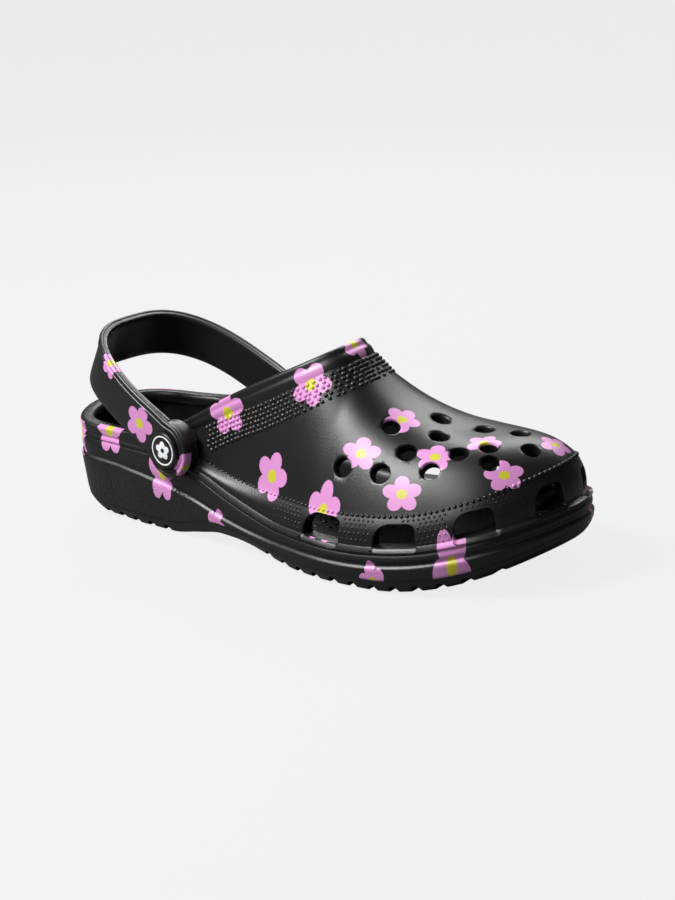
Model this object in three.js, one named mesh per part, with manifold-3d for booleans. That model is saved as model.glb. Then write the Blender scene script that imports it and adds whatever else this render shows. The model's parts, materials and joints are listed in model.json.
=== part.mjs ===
// A moulded foam clog for the right foot, with a heel strap that pivots on two rivets.
// Millimetres. +X points to the toe, +Y to the inner side of the foot, +Z up.
// The origin is on the ground under the middle of the heel.
import * as THREE from 'three';
import { mergeVertices } from 'three/addons/utils/BufferGeometryUtils.js';
import Module from 'manifold-3d';

const wasm = await Module();
wasm.setup();

// ---- driving dimensions -------------------------------------------------------------------
const LENGTH = 262.5;          // heel to toe, over the widest line of the sole
const WIDTH = 104.5;           // across the ball of the foot
const HEEL_BACK = -41;         // the heel's rearmost point, measured from the origin
const UPPER_WALL = 4.5;        // foam thickness of the vamp and of the toe box
const RIM_WALL = 6;            // foam thickness of the heel's rim
const LIP_WIDTH = 9;           // from the sole's widest line to the footbed, at the forefoot
const HOLE_DIAMETER = 8;       // round holes on top of the toe box
const PIVOT_HEIGHT = 43;       // strap pivots above the ground
const PIVOT_SKEW = 11;         // the inner pivot sits this far ahead of the outer one
const OUTER_SETBACK = 0;       // the strap's outer seat, inside the sole's widest line
const INNER_SETBACK = 3.5;     // the inner seat, inside the same line
const BOSS_RADIUS = 13.3;      // round ends of the strap
const STRAP_WIDTH = 20.5;      // at the pivots
const STRAP_REAR_WIDTH = 23.5;
const STRAP_THICKNESS = 4;
const STRAP_REACH = 65.5;      // from the pivot line to the strap's rear
const STRAP_RISE = 33;         // the strap's rear, above its pivots
const HEAD_RADIUS = 8.5;       // rivet head
const BADGE_RADIUS = 7;
const POST_RADIUS = 3.9;       // rivet shank
const CAP_RADIUS = 8;          // rivet's inner cap
const GAP = 0.3;               // clearance between pieces that touch
const RUNNING_GAP = 0.6;       // radial clearance of the strap and the shell on the rivet

const AROUND = 80;             // points around the sole
const VAMP_SQUARENESS = 2.3;   // exponent of the cross-section over the instep
const TOE_SQUARENESS = 3.6;    // and over the toe box, which is flatter on top

// ---- side and plan curves -------------------------------------------------------------------
// Plan outline at the sole's widest line: percent of LENGTH from the heel, percent of WIDTH from
// the centre line. Outer side first (minus), then the inner side from the toe back to the heel.
const OUTLINE = [
  [0, 0], [4.8, -26.8], [15.6, -33], [30.9, -36.8], [48, -43.5], [65.1, -52.2], [81.1, -48.3],
  [93.3, -30.6], [100, 3.8], [95.6, 33.5], [82.3, 47.8], [65.1, 46.5], [48, 40.5], [30.9, 37.5],
  [15.6, 33.5], [4.8, 26.2],
];
// Heights above the ground at stations along the foot: percent of LENGTH, millimetres.
const GROUND = [[0, 8], [3.4, 4], [9.9, 0], [26.3, 0], [32.8, 3], [38.5, 5.5], [44.2, 5], [53, 1],
  [57.5, 0], [72.8, 0], [80.4, 1.5], [87.2, 5], [94.1, 10.5], [100, 16.5]];
const BAND = [[0, 29], [15.6, 27.5], [30.9, 21.5], [42.3, 14], [53.7, 11], [65.1, 11], [80.4, 14],
  [91.8, 20.5], [100, 26.5]];
const LIP = [[0, 39], [15.6, 38.5], [25.1, 37.5], [32.8, 33.5], [42.3, 24.5], [53.7, 18],
  [65.1, 17.5], [80.4, 20.5], [91.8, 27], [100, 33]];
const RIDGE = [[0, 50], [15.6, 50], [23.2, 47], [32.8, 38.5], [42.3, 32.5], [53.7, 30.5],
  [65.1, 31], [80.4, 34.5], [91.8, 42.5], [100, 50.5]];
const RIDGE_INSET = [[0, 0.5], [15.6, 1], [23.2, 3], [32.8, 6], [42.3, 7], [100, 7]];
const CREST = [[0, 118], [30.9, 115], [49.9, 104.5], [58.3, 92], [63.2, 80.5], [69, 70],
  [76.6, 62], [84.2, 59.5], [100, 60]];
const COLLAR = [[0, 45], [11.8, 44], [19.4, 44.5], [25.9, 48.5], [31.6, 56], [38.5, 66.5],
  [46.1, 76.5], [53.7, 86], [58.3, 92]];
const FOOTBED = [[0, 27], [15.6, 25], [32.8, 26], [44.2, 22.5], [53.7, 16.5], [65.1, 15.5],
  [80.4, 18.5], [91.8, 25.5], [100, 33]];
const COLLAR_TOP = 58.3;       // station where the opening ends on the crest, percent of LENGTH

// Holes on top of the toe box: percent of LENGTH, percent of WIDTH.
const TOP_HOLES = [
  [65.5, -37.8], [72.6, -36.6], [80.8, -31], [89.1, -18.7], [70.9, -21], [75.6, -27.8],
  [83.7, -20.8], [78.3, -13.8], [87.2, -11.7], [92.8, -2], [75.2, 0], [82.3, 4.8], [88.4, 8],
];
// Side vents: station in percent of LENGTH, width and height in millimetres, on each side.
const VENTS = [[63.2, 20, 10.5], [77.9, 19, 9.5], [90.8, 18, 10], [98.7, 15, 10.5]];

const station = (percent) => HEEL_BACK + (LENGTH * percent) / 100;
const PIVOT_X = station(29.3);

// A smooth curve of x through a table of stations, as cubic Hermite pieces. It is flat between
// equal heights and never overshoots them.
function profile(table) {
  const xs = table.map(([percent]) => station(percent));
  const zs = table.map(([, z]) => z);
  const last = xs.length - 1;
  const rise = (i) => (zs[i + 1] - zs[i]) / (xs[i + 1] - xs[i]);
  const slopes = xs.map((_, i) => {
    const before = rise(Math.max(i - 1, 0));
    const after = rise(Math.min(i, last - 1));
    if (before * after <= 0) return 0;
    const steepest = 3 * Math.min(Math.abs(before), Math.abs(after));
    return Math.sign(before) * Math.min(Math.abs(before + after) / 2, steepest);
  });
  return (x) => {
    const q = Math.min(Math.max(x, xs[0]), xs[last]);
    let i = 0;
    while (i < last - 1 && q > xs[i + 1]) i += 1;
    const h = xs[i + 1] - xs[i];
    const s = (q - xs[i]) / h;
    return zs[i] * (2 * s ** 3 - 3 * s ** 2 + 1) + slopes[i] * h * (s ** 3 - 2 * s ** 2 + s)
      + zs[i + 1] * (3 * s ** 2 - 2 * s ** 3) + slopes[i + 1] * h * (s ** 3 - s ** 2);
  };
}
const [ground, band, lip, ridge, ridgeInset, crest, collar, footbed] = [
  GROUND, BAND, LIP, RIDGE, RIDGE_INSET, CREST, COLLAR, FOOTBED].map(profile);

const plan = new THREE.CatmullRomCurve3(
  OUTLINE.map(([px, py]) => new THREE.Vector3(station(px), (WIDTH * py) / 100, 0)),
  true, 'catmullrom', 0.5);

// Points of the plan outline with their outward normals. Point i faces point AROUND - i.
const rail = Array.from({ length: AROUND }, (_, i) => {
  const point = plan.getPoint(i / AROUND);
  const tangent = plan.getTangent(i / AROUND);
  return { x: point.x, y: point.y, nx: tangent.y, ny: -tangent.x };
});

const clamp01 = (value) => Math.min(Math.max(value, 0), 1);
const toHeel = (x) => clamp01((10 - x) / 45);
const toVamp = (x) => clamp01((x - 20) / 40);

// A ring of points around the sole, set in from the outline and lifted by functions of x.
function ring(inset, height) {
  return rail.map((p) => {
    const d = inset(p.x);
    return new THREE.Vector3(p.x - p.nx * d, p.y - p.ny * d, height(p.x));
  });
}

// Rings that close a ridge ring over the foot, up to a crest line.
const DOME_STEPS = [0.94, 0.87, 0.78, 0.67, 0.54, 0.38, 0.2];
const middle = (points, i) => (points[i].y + points[(AROUND - i) % AROUND].y) / 2;
const TOE_FAN = station(72.8);      // ahead of it the rings fan out around the toe box
const FAN_REACH = 30;
const squareness = (x) => (
  VAMP_SQUARENESS + (TOE_SQUARENESS - VAMP_SQUARENESS) * clamp01((x - station(62)) / 50));
function dome(base, crestHeight) {
  const spine = base.map((p, i) => {
    const beyond = Math.max(p.x - TOE_FAN, 0);
    const x = Math.max(Math.min(p.x, TOE_FAN), 0) + FAN_REACH * Math.tanh(beyond / FAN_REACH);
    return new THREE.Vector3(x, middle(base, i), crestHeight(x));
  });
  return DOME_STEPS.map((rho) => base.map((p, i) => {
    const x = spine[i].x + (p.x - spine[i].x) * rho;
    const y = spine[i].y + (p.y - spine[i].y) * rho;
    return new THREE.Vector3(x, y, p.z + (spine[i].z - p.z) * (1 - rho ** squareness(p.x)));
  }));
}

// ---- solids -----------------------------------------------------------------------------------
function toManifold(geometry) {
  const bare = geometry.clone();
  bare.deleteAttribute('normal');
  bare.deleteAttribute('uv');
  const merged = mergeVertices(bare, 1e-5);
  return new wasm.Manifold(new wasm.Mesh({
    numProp: 3,
    vertProperties: new Float32Array(merged.attributes.position.array),
    triVerts: new Uint32Array(merged.index.array),
  }));
}

function toGeometry(solid) {
  const mesh = solid.getMesh();
  const geometry = new THREE.BufferGeometry();
  geometry.setAttribute('position', new THREE.BufferAttribute(mesh.vertProperties, 3));
  geometry.setIndex(new THREE.BufferAttribute(mesh.triVerts, 1));
  geometry.computeVertexNormals();
  return geometry;
}

// Skin a stack of rings with equal point counts. The ends are closed by rungs between facing
// points, so an end follows the height of its ring.
function loft(rings) {
  const n = rings[0].length;
  const positions = rings.flat().flatMap((p) => [p.x, p.y, p.z]);
  const index = [];
  for (let r = 0; r < rings.length - 1; r += 1) {
    for (let i = 0; i < n; i += 1) {
      const j = (i + 1) % n;
      const [a, b, c, d] = [r * n + i, r * n + j, (r + 1) * n + j, (r + 1) * n + i];
      index.push(a, b, c, a, c, d);
    }
  }
  const top = (rings.length - 1) * n;
  for (let i = 0; i < n / 2; i += 1) {
    const [a, b, c, d] = [i, i + 1, n - i - 1, (n - i) % n];
    if (a !== d) index.push(a, d, b, top + a, top + b, top + d);
    if (b !== c) index.push(b, d, c, top + b, top + c, top + d);
  }
  const geometry = new THREE.BufferGeometry();
  geometry.setAttribute('position', new THREE.Float32BufferAttribute(positions, 3));
  geometry.setIndex(index);
  return geometry;
}

// A straight cylinder from one point along a direction, both ways by half its length.
function rod(centre, direction, radius, length, sides) {
  const geometry = new THREE.CylinderGeometry(radius, radius, length, sides);
  const turn = new THREE.Quaternion().setFromUnitVectors(new THREE.Vector3(0, 1, 0), direction);
  geometry.applyQuaternion(turn);
  geometry.translate(centre.x, centre.y, centre.z);
  return toManifold(geometry);
}

// ---- the moulded clog ---------------------------------------------------------------------------
const ridgeRing = ring(ridgeInset, ridge);

function outerBody() {
  const walls = [
    ring((x) => 4 + 4 * toHeel(x), ground),
    ring((x) => 2.2 + 3.4 * toHeel(x), (x) => ground(x) + 2),
    ring((x) => 0.6 + 2 * toHeel(x), (x) => ground(x) + 5.5),
    ring(() => 0, (x) => band(x) - 0.5),
    ring(() => 1, (x) => band(x) + 0.5),
    ring(() => 0.6, lip),
    ring((x) => 1.2 + 1.3 * toVamp(x), (x) => lip(x) + 1.4),
    ring((x) => 0.54 + 0.6 * ridgeInset(x), (x) => 0.42 * lip(x) + 0.58 * ridge(x)),
    ridgeRing,
  ];
  return toManifold(loft([...walls, ...dome(ridgeRing, crest)]));
}

function footSpace() {
  const wall = (x) => RIM_WALL + (UPPER_WALL - RIM_WALL) * toVamp(x);
  const edge = (x) => RIM_WALL + 1 + (LIP_WIDTH - RIM_WALL - 1) * toVamp(x);
  const inner = ring((x) => ridgeInset(x) + wall(x), (x) => ridge(x) - 1);
  const rings = [
    ring((x) => edge(x) + 7, footbed),
    ring((x) => edge(x) + 2, (x) => footbed(x) + 1.6),
    ring(edge, (x) => footbed(x) + 5),
    ring((x) => ridgeInset(x) * 0.5 + wall(x) + 0.6, (x) => 0.5 * (footbed(x) + 5 + ridge(x))),
    inner,
  ];
  return toManifold(loft([...rings, ...dome(inner, (x) => crest(x) - UPPER_WALL)]));
}

// Everything above the collar line, from the heel to the top of the collar.
function ankleOpening() {
  const shape = new THREE.Shape();
  const start = station(-15);
  const end = station(COLLAR_TOP);
  const steps = 22;
  shape.moveTo(start, 200);
  shape.lineTo(start, collar(start));
  for (let i = 0; i <= steps; i += 1) {
    const x = HEEL_BACK + ((end - HEEL_BACK) * i) / steps;
    shape.lineTo(x, collar(x));
  }
  shape.lineTo(end, 200);
  const geometry = new THREE.ExtrudeGeometry(shape, { depth: 3 * WIDTH, bevelEnabled: false });
  geometry.translate(0, 0, -1.5 * WIDTH);
  geometry.rotateX(Math.PI / 2);
  return toManifold(geometry);
}

// Height of the vamp at a plan point, from the ridge's half-width at that station.
function vampHeight(x, y) {
  const crossing = [-1, 1].map((side) => {
    const points = ridgeRing.filter((p) => Math.sign(p.y) === side).sort((a, b) => a.x - b.x);
    const k = Math.max(points.findIndex((p) => p.x > x), 1);
    const [a, b] = [points[k - 1], points[k]];
    return a.y + ((b.y - a.y) * (x - a.x)) / (b.x - a.x);
  });
  const centre = (crossing[0] + crossing[1]) / 2;
  const u = Math.abs(y - centre) / ((crossing[1] - crossing[0]) / 2);
  return ridge(x) + (crest(x) - ridge(x)) * (1 - u ** squareness(x));
}

function topHole([px, py]) {
  const x = station(px);
  const y = (WIDTH * py) / 100;
  const step = 1;
  const slopeX = (vampHeight(x + step, y) - vampHeight(x - step, y)) / (2 * step);
  const slopeY = (vampHeight(x, y + step) - vampHeight(x, y - step)) / (2 * step);
  const normal = new THREE.Vector3(-slopeX, -slopeY, 1).normalize();
  return rod(new THREE.Vector3(x, y, vampHeight(x, y)), normal, HOLE_DIAMETER / 2, 24, 14);
}

// A vent is an arched slot through the side wall, standing on the lip.
function sideVent([percent, width, height], side) {
  const x = station(percent);
  const half = rail.filter((p) => Math.sign(p.y) === side);
  const spot = half.reduce((a, b) => (Math.abs(a.x - x) < Math.abs(b.x - x) ? a : b));
  const shape = new THREE.Shape();
  shape.moveTo(-width / 2, 0);
  shape.lineTo(width / 2, 0);
  shape.quadraticCurveTo(width * 0.47, height * 0.95, width * 0.1, height);
  shape.lineTo(-width * 0.32, height);
  shape.quadraticCurveTo(-width * 0.5, height, -width * 0.5, height * 0.75);
  const depth = 40;
  const geometry = new THREE.ExtrudeGeometry(shape, {
    depth, bevelEnabled: false, curveSegments: 4,
  });
  geometry.translate(0, 0, -depth / 2);
  const forward = new THREE.Vector3(spot.ny, -spot.nx, 0).multiplyScalar(-side);
  const run = forward.x * (lip(spot.x + 3) - lip(spot.x - 3)) / 6;
  const along = new THREE.Vector3(forward.x, forward.y, run).normalize();
  const outward = new THREE.Vector3(spot.nx, spot.ny, 0);
  const up = new THREE.Vector3().crossVectors(outward, along);
  if (up.z < 0) up.negate();
  const depthways = new THREE.Vector3().crossVectors(along, up);
  const frame = new THREE.Matrix4().makeBasis(along, up, depthways);
  geometry.applyMatrix4(frame);
  geometry.translate(spot.x, spot.y, lip(spot.x) + 1.2);
  return toManifold(geometry);
}

// The strap's flat seats stand square to the line through both pivots, which is skewed in plan
// because the inner pivot sits ahead of the outer one.
function seatPoint(side, x, setback) {
  const half = rail.filter((p) => Math.sign(p.y) === side).sort((a, b) => a.x - b.x);
  const k = half.findIndex((p) => p.x > x);
  const [a, b] = [half[k - 1], half[k]];
  const y = a.y + ((b.y - a.y) * (x - a.x)) / (b.x - a.x) - side * setback;
  return new THREE.Vector3(x, y, PIVOT_HEIGHT);
}
const OUTER_SEAT = seatPoint(-1, PIVOT_X, OUTER_SETBACK);
const INNER_SEAT = seatPoint(1, PIVOT_X + PIVOT_SKEW, INNER_SETBACK);
const PIVOT_LINE = INNER_SEAT.clone().sub(OUTER_SEAT).normalize();
const SEATS = {
  outer: { point: OUTER_SEAT, outward: PIVOT_LINE.clone().negate() },
  inner: { point: INNER_SEAT, outward: PIVOT_LINE },
};

// A cylinder on the pivot line, centred a distance out of a seat.
function pivotRod({ point, outward }, out, radius, length, sides) {
  return rod(point.clone().addScaledVector(outward, out), outward, radius, length, sides);
}

const EAR_RADIUS = BOSS_RADIUS - 1.3;
const EAR_THICKNESS = UPPER_WALL;
function clogShell() {
  const foot = footSpace();
  let shell = outerBody().subtract(foot).subtract(ankleOpening());
  for (const seat of Object.values(SEATS)) {
    const ear = pivotRod(seat, -EAR_THICKNESS / 2, EAR_RADIUS, EAR_THICKNESS, 32);
    const pocket = pivotRod(seat, 10, BOSS_RADIUS + RUNNING_GAP, 20, 40);
    const inside = pivotRod(seat, -EAR_THICKNESS - 5, CAP_RADIUS + RUNNING_GAP, 10, 32);
    const bore = pivotRod(seat, 0, POST_RADIUS + RUNNING_GAP, 4 * EAR_THICKNESS, 24);
    shell = shell.add(ear).subtract(pocket).subtract(inside).subtract(bore);
  }
  for (const hole of TOP_HOLES) shell = shell.subtract(topHole(hole));
  for (const vent of VENTS) {
    for (const side of [-1, 1]) shell = shell.subtract(sideVent(vent, side));
  }
  return toGeometry(shell);
}

// ---- the heel strap -----------------------------------------------------------------------------
// The band's middle line leaves each pivot and meets behind the heel. Its width stands nearly
// square to the line that it draws in the side view.
const STRAP_MIDDLE = OUTER_SEAT.clone().add(INNER_SEAT).multiplyScalar(0.5);
const STRAP_HALF = OUTER_SEAT.distanceTo(INNER_SEAT) / 2 + GAP + STRAP_THICKNESS / 2;
const BACKWARD = new THREE.Vector3(-PIVOT_LINE.y, PIVOT_LINE.x, 0);
const UPWARD = new THREE.Vector3(0, 0, 1);
const STRAP_SQUARENESS = 2.9;
const STRAP_SHIFT = 3;         // the rear sits this far to the outer side of the middle
const FIRST_SLOPE = 0.6;
const BOSS_FAIRING = 2.4;      // the upper edge widens by this much toward each boss
const WIDTH_LEAN = 0.55;       // how far the band's width leans back from square, at the pivots
function strapBand() {
  const steps = 52;
  const bend = (FIRST_SLOPE * STRAP_REACH - STRAP_RISE) / STRAP_REACH ** 2;
  const centres = [];
  for (let i = 0; i <= steps; i += 1) {
    const angle = (Math.PI * (i / steps - 0.5)) * 0.985;
    const share = Math.cos(angle) ** (2 / STRAP_SQUARENESS);
    const back = STRAP_REACH * share;
    const out = Math.abs(Math.sin(angle)) ** (2 / STRAP_SQUARENESS) * Math.sign(angle);
    const at = STRAP_MIDDLE.clone()
      .addScaledVector(PIVOT_LINE, STRAP_HALF * out - STRAP_SHIFT * share ** 2)
      .addScaledVector(BACKWARD, back)
      .addScaledVector(UPWARD, FIRST_SLOPE * back - bend * back ** 2);
    const lean = FIRST_SLOPE - 2 * bend * back + WIDTH_LEAN * (1 - share ** 2);
    const width = STRAP_WIDTH + (STRAP_REAR_WIDTH - STRAP_WIDTH) * share ** 2;
    const fairing = BOSS_FAIRING * Math.exp(-((back / 17) ** 2));
    centres.push({ at, lean, width, fairing });
  }
  const t = (STRAP_THICKNESS - 0.2) / 2;
  const bevel = 1;
  const rings = centres.map(({ at, lean, width, fairing }, i) => {
    const w = width / 2;
    const top = w + fairing;
    const section = [[-w, -t + bevel], [-w + bevel, -t], [top - bevel, -t], [top, -t + bevel],
      [top, t - bevel], [top - bevel, t], [-w + bevel, t], [-w, t - bevel]];
    const before = centres[Math.max(i - 1, 0)].at;
    const after = centres[Math.min(i + 1, steps)].at;
    const tangent = after.clone().sub(before).normalize();
    const upright = UPWARD.clone().addScaledVector(BACKWARD, -lean).normalize();
    const thick = new THREE.Vector3().crossVectors(tangent, upright).normalize();
    const wide = new THREE.Vector3().crossVectors(thick, tangent).normalize();
    return section.map(([a, b]) => at.clone().addScaledVector(wide, a).addScaledVector(thick, b));
  });
  return toManifold(loft(rings));
}

function heelStrap() {
  let strap = strapBand();
  for (const seat of Object.values(SEATS)) {
    const middle = GAP + STRAP_THICKNESS / 2;
    strap = strap.add(pivotRod(seat, middle, BOSS_RADIUS, STRAP_THICKNESS, 44));
    strap = strap.subtract(pivotRod(seat, -5, BOSS_RADIUS + 2, 10, 44));
    strap = strap.subtract(pivotRod(seat, middle, POST_RADIUS + RUNNING_GAP, 4 * STRAP_THICKNESS, 24));
  }
  return toGeometry(strap);
}

// ---- rivets -------------------------------------------------------------------------------------
// Profiles are drawn as radius and distance out of the seat, and turned about the pivot line.
function turned(points, sides) {
  return new THREE.LatheGeometry(points.map(([r, out]) => new THREE.Vector2(r, out)), sides);
}
const HEAD_UNDER = STRAP_THICKNESS + 2 * GAP;
const HEAD_THICKNESS = 1.9;
const BADGE_THICKNESS = 0.6;
const CAP_UNDER = -EAR_THICKNESS - GAP;
const CAP_THICKNESS = 2.4;
const CAP_BORE_DEPTH = 1.4;

function rivetHead() {
  const top = HEAD_UNDER + HEAD_THICKNESS;
  const floor = top - BADGE_THICKNESS - GAP;
  return turned([
    [0, CAP_UNDER - CAP_BORE_DEPTH + GAP], [POST_RADIUS - 0.6, CAP_UNDER - CAP_BORE_DEPTH + GAP],
    [POST_RADIUS, CAP_UNDER - CAP_BORE_DEPTH + GAP + 0.6], [POST_RADIUS, HEAD_UNDER],
    [HEAD_RADIUS, HEAD_UNDER], [HEAD_RADIUS, top - 0.8], [HEAD_RADIUS - 0.5, top],
    [BADGE_RADIUS + GAP, top], [BADGE_RADIUS + GAP, floor], [0, floor],
  ], 40);
}

function rivetBadge() {
  const top = HEAD_UNDER + HEAD_THICKNESS;
  return turned([[0, top - BADGE_THICKNESS], [BADGE_RADIUS, top - BADGE_THICKNESS],
    [BADGE_RADIUS, top - 0.1], [BADGE_RADIUS - 0.2, top], [0, top]], 40);
}

function rivetCap() {
  const bore = POST_RADIUS + GAP;
  return turned([[0, CAP_UNDER - CAP_THICKNESS], [CAP_RADIUS - 1.2, CAP_UNDER - CAP_THICKNESS],
    [CAP_RADIUS, CAP_UNDER - CAP_THICKNESS + 1], [CAP_RADIUS, CAP_UNDER], [bore, CAP_UNDER],
    [bore, CAP_UNDER - CAP_BORE_DEPTH], [0, CAP_UNDER - CAP_BORE_DEPTH]], 32);
}

// ---- the part -----------------------------------------------------------------------------------
const foam = new THREE.MeshStandardMaterial({ color: 0x26262a, roughness: 0.62, metalness: 0 });
const strapFoam = new THREE.MeshStandardMaterial({ color: 0x2a2a2e, roughness: 0.6, metalness: 0 });
const plastic = new THREE.MeshStandardMaterial({ color: 0x141416, roughness: 0.35, metalness: 0 });
const print = new THREE.MeshStandardMaterial({ color: 0xe8e8e8, roughness: 0.4, metalness: 0 });

function piece(name, geometry, material) {
  const mesh = new THREE.Mesh(geometry, material);
  mesh.name = name;
  return mesh;
}

const clog = new THREE.Group();
clog.add(piece('clog_shell', clogShell(), foam));
clog.add(piece('heel_strap', heelStrap(), strapFoam));
for (const [name, { point, outward }] of Object.entries(SEATS)) {
  const rivet = new THREE.Group();
  rivet.position.copy(point);
  rivet.quaternion.setFromUnitVectors(new THREE.Vector3(0, 1, 0), outward);
  rivet.add(piece(`rivet_head_${name}`, rivetHead(), plastic));
  rivet.add(piece(`rivet_badge_${name}`, rivetBadge(), print));
  rivet.add(piece(`rivet_cap_${name}`, rivetCap(), plastic));
  clog.add(rivet);
}

export default clog;
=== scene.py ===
# %% [markdown]
# # A moulded foam clog with a pivoting heel strap
# A foam clog is one closed-cell moulding with a separate foam strap on two snap rivets. The CAD
# solids hold its size, its joints and its collision. This lesson makes the surfaces that are seen:
# rolled edges, rows of moulded dots, a lugged tread and a flower print that wraps the moulding.

# %% Load the frame
import json
import math

import bmesh
import bpy
import numpy as np
from mathutils import Matrix, Vector
from mathutils.bvhtree import BVHTree


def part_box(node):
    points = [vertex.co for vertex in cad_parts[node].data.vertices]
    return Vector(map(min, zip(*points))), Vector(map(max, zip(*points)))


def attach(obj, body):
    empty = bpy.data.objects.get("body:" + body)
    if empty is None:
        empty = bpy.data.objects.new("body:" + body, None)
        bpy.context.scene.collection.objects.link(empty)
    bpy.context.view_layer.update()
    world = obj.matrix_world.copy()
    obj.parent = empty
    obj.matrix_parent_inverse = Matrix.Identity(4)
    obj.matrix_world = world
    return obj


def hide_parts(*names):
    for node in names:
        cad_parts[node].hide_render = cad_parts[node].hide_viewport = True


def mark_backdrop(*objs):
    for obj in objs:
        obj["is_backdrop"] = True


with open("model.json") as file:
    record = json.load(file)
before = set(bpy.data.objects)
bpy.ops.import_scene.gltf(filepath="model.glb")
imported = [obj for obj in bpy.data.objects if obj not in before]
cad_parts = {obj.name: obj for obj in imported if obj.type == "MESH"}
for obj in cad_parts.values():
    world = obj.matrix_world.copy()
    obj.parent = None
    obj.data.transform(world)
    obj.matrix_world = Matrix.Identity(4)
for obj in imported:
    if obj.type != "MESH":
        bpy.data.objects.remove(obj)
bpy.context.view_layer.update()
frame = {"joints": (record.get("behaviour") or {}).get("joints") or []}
MM = 0.001
scene = bpy.context.scene
shell_low, shell_high = [np.array(corner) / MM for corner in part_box("clog_shell")]
strap_low, strap_high = [np.array(corner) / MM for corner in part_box("heel_strap")]
print("clog", (shell_high - shell_low).round(1), "strap", (strap_high - strap_low).round(1), "mm")

# %% [markdown]
# ## The curves that shape the moulding
# A shoe has no straight lines to measure from, so its maker draws a plan outline and a few height
# lines along the foot, and the surface follows them. Hand sculpting would give the shape too, but
# curves can be sampled as finely as each piece needs. Stations are percent of the length from the
# heel, and heights are millimetres above the ground.

# %% Plan outline and height lines
OUTLINE = [
    (0, 0), (4.8, -26.8), (15.6, -33), (30.9, -36.8), (48, -43.5), (65.1, -52.2), (81.1, -48.3),
    (93.3, -30.6), (100, 3.8), (95.6, 33.5), (82.3, 47.8), (65.1, 46.5), (48, 40.5), (30.9, 37.5),
    (15.6, 33.5), (4.8, 26.2)]
GROUND = [(0, 8), (3.4, 4), (9.9, 0), (26.3, 0), (32.8, 3), (38.5, 5.5), (44.2, 5), (53, 1),
          (57.5, 0), (72.8, 0), (80.4, 1.5), (87.2, 5), (94.1, 10.5), (100, 16.5)]
BAND = [(0, 29), (15.6, 27.5), (30.9, 21.5), (42.3, 14), (53.7, 11), (65.1, 11), (80.4, 14),
        (91.8, 20.5), (100, 26.5)]
LIP = [(0, 39), (15.6, 38.5), (25.1, 37.5), (32.8, 33.5), (42.3, 24.5), (53.7, 18),
       (65.1, 17.5), (80.4, 20.5), (91.8, 27), (100, 33)]
RIDGE = [(0, 50), (15.6, 50), (23.2, 47), (32.8, 38.5), (42.3, 32.5), (53.7, 30.5),
         (65.1, 31), (80.4, 34.5), (91.8, 42.5), (100, 50.5)]
RIDGE_INSET = [(0, 0.5), (15.6, 1), (23.2, 3), (32.8, 6), (42.3, 7), (100, 7)]
CREST = [(0, 118), (30.9, 115), (49.9, 104.5), (58.3, 92), (63.2, 80.5), (69, 70),
         (76.6, 62), (84.2, 59.5), (100, 60)]
COLLAR = [(0, 45), (11.8, 44), (19.4, 44.5), (25.9, 48.5), (31.6, 56), (38.5, 66.5),
          (46.1, 76.5), (53.7, 86), (58.3, 92)]
FOOTBED = [(0, 27), (15.6, 25), (32.8, 26), (44.2, 22.5), (53.7, 16.5), (65.1, 15.5),
           (80.4, 18.5), (91.8, 25.5), (100, 33)]
COLLAR_TOP = 58.3
UPPER_WALL, RIM_WALL, LIP_WIDTH = 4.5, 6.0, 9.0
HEEL_BACK, LENGTH = shell_low[0], shell_high[0] - shell_low[0]
WIDTH = 104.5


def station(percent):
    """x of a station, in millimetres."""
    return HEEL_BACK + LENGTH * np.asarray(percent, float) / 100


def height_line(table):
    """A smooth function of x through a table of stations, flat between equal heights."""
    x = station([p for p, _ in table])
    z = np.array([value for _, value in table], float)
    rise = np.diff(z) / np.diff(x)
    before, after = np.r_[rise[:1], rise], np.r_[rise, rise[-1:]]
    steepest = 3 * np.minimum(abs(before), abs(after))
    slope = np.sign(before) * np.minimum(abs(before + after) / 2, steepest)
    slope[before * after <= 0] = 0

    def at(q):
        q = np.clip(np.asarray(q, float), x[0], x[-1])
        i = np.clip(np.searchsorted(x, q, side="right") - 1, 0, len(x) - 2)
        h = x[i + 1] - x[i]
        s = (q - x[i]) / h
        return (z[i] * (2 * s**3 - 3 * s**2 + 1) + slope[i] * h * (s**3 - 2 * s**2 + s)
                + z[i + 1] * (3 * s**2 - 2 * s**3) + slope[i + 1] * h * (s**3 - s**2))

    return at


ground, band, lip, ridge, ridge_inset, crest, collar, footbed = [height_line(t) for t in (
    GROUND, BAND, LIP, RIDGE, RIDGE_INSET, CREST, COLLAR, FOOTBED)]
print("ground line from", ground(HEEL_BACK).round(1), "to", ground(station(100)).round(1), "mm")

# %% The rail: points around the plan outline, each with its outward direction
def rail(count):
    """Points and outward directions around the sole; point i faces point count - i."""
    corner = np.column_stack([station([p for p, _ in OUTLINE]),
                              [WIDTH * q / 100 for _, q in OUTLINE]])
    t = np.arange(count) / count * len(corner)
    i, s = t.astype(int), (t % 1)[:, None]
    a, b, c, d = [corner[(i + k) % len(corner)] for k in (-1, 0, 1, 2)]
    point = 0.5 * (2 * b + (c - a) * s + (2 * a - 5 * b + 4 * c - d) * s**2
                   + (3 * b - a - 3 * c + d) * s**3)
    run = 0.5 * ((c - a) + 2 * (2 * a - 5 * b + 4 * c - d) * s + 3 * (3 * b - a - 3 * c + d) * s**2)
    run /= np.linalg.norm(run, axis=1)[:, None]
    return point, np.column_stack([run[:, 1], -run[:, 0]])


def ring(count, inset, height):
    """One ring around the sole: set in from the outline and lifted, both as functions of x."""
    point, outward = rail(count)
    x = point[:, 0]
    return np.column_stack([point - outward * np.broadcast_to(inset(x), x.shape)[:, None],
                            np.broadcast_to(height(x), x.shape)])


HEEL_BLEND_FROM, HEEL_BLEND_LENGTH = 10, 45
VAMP_BLEND_FROM, VAMP_BLEND_LENGTH = 20, 40


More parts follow.
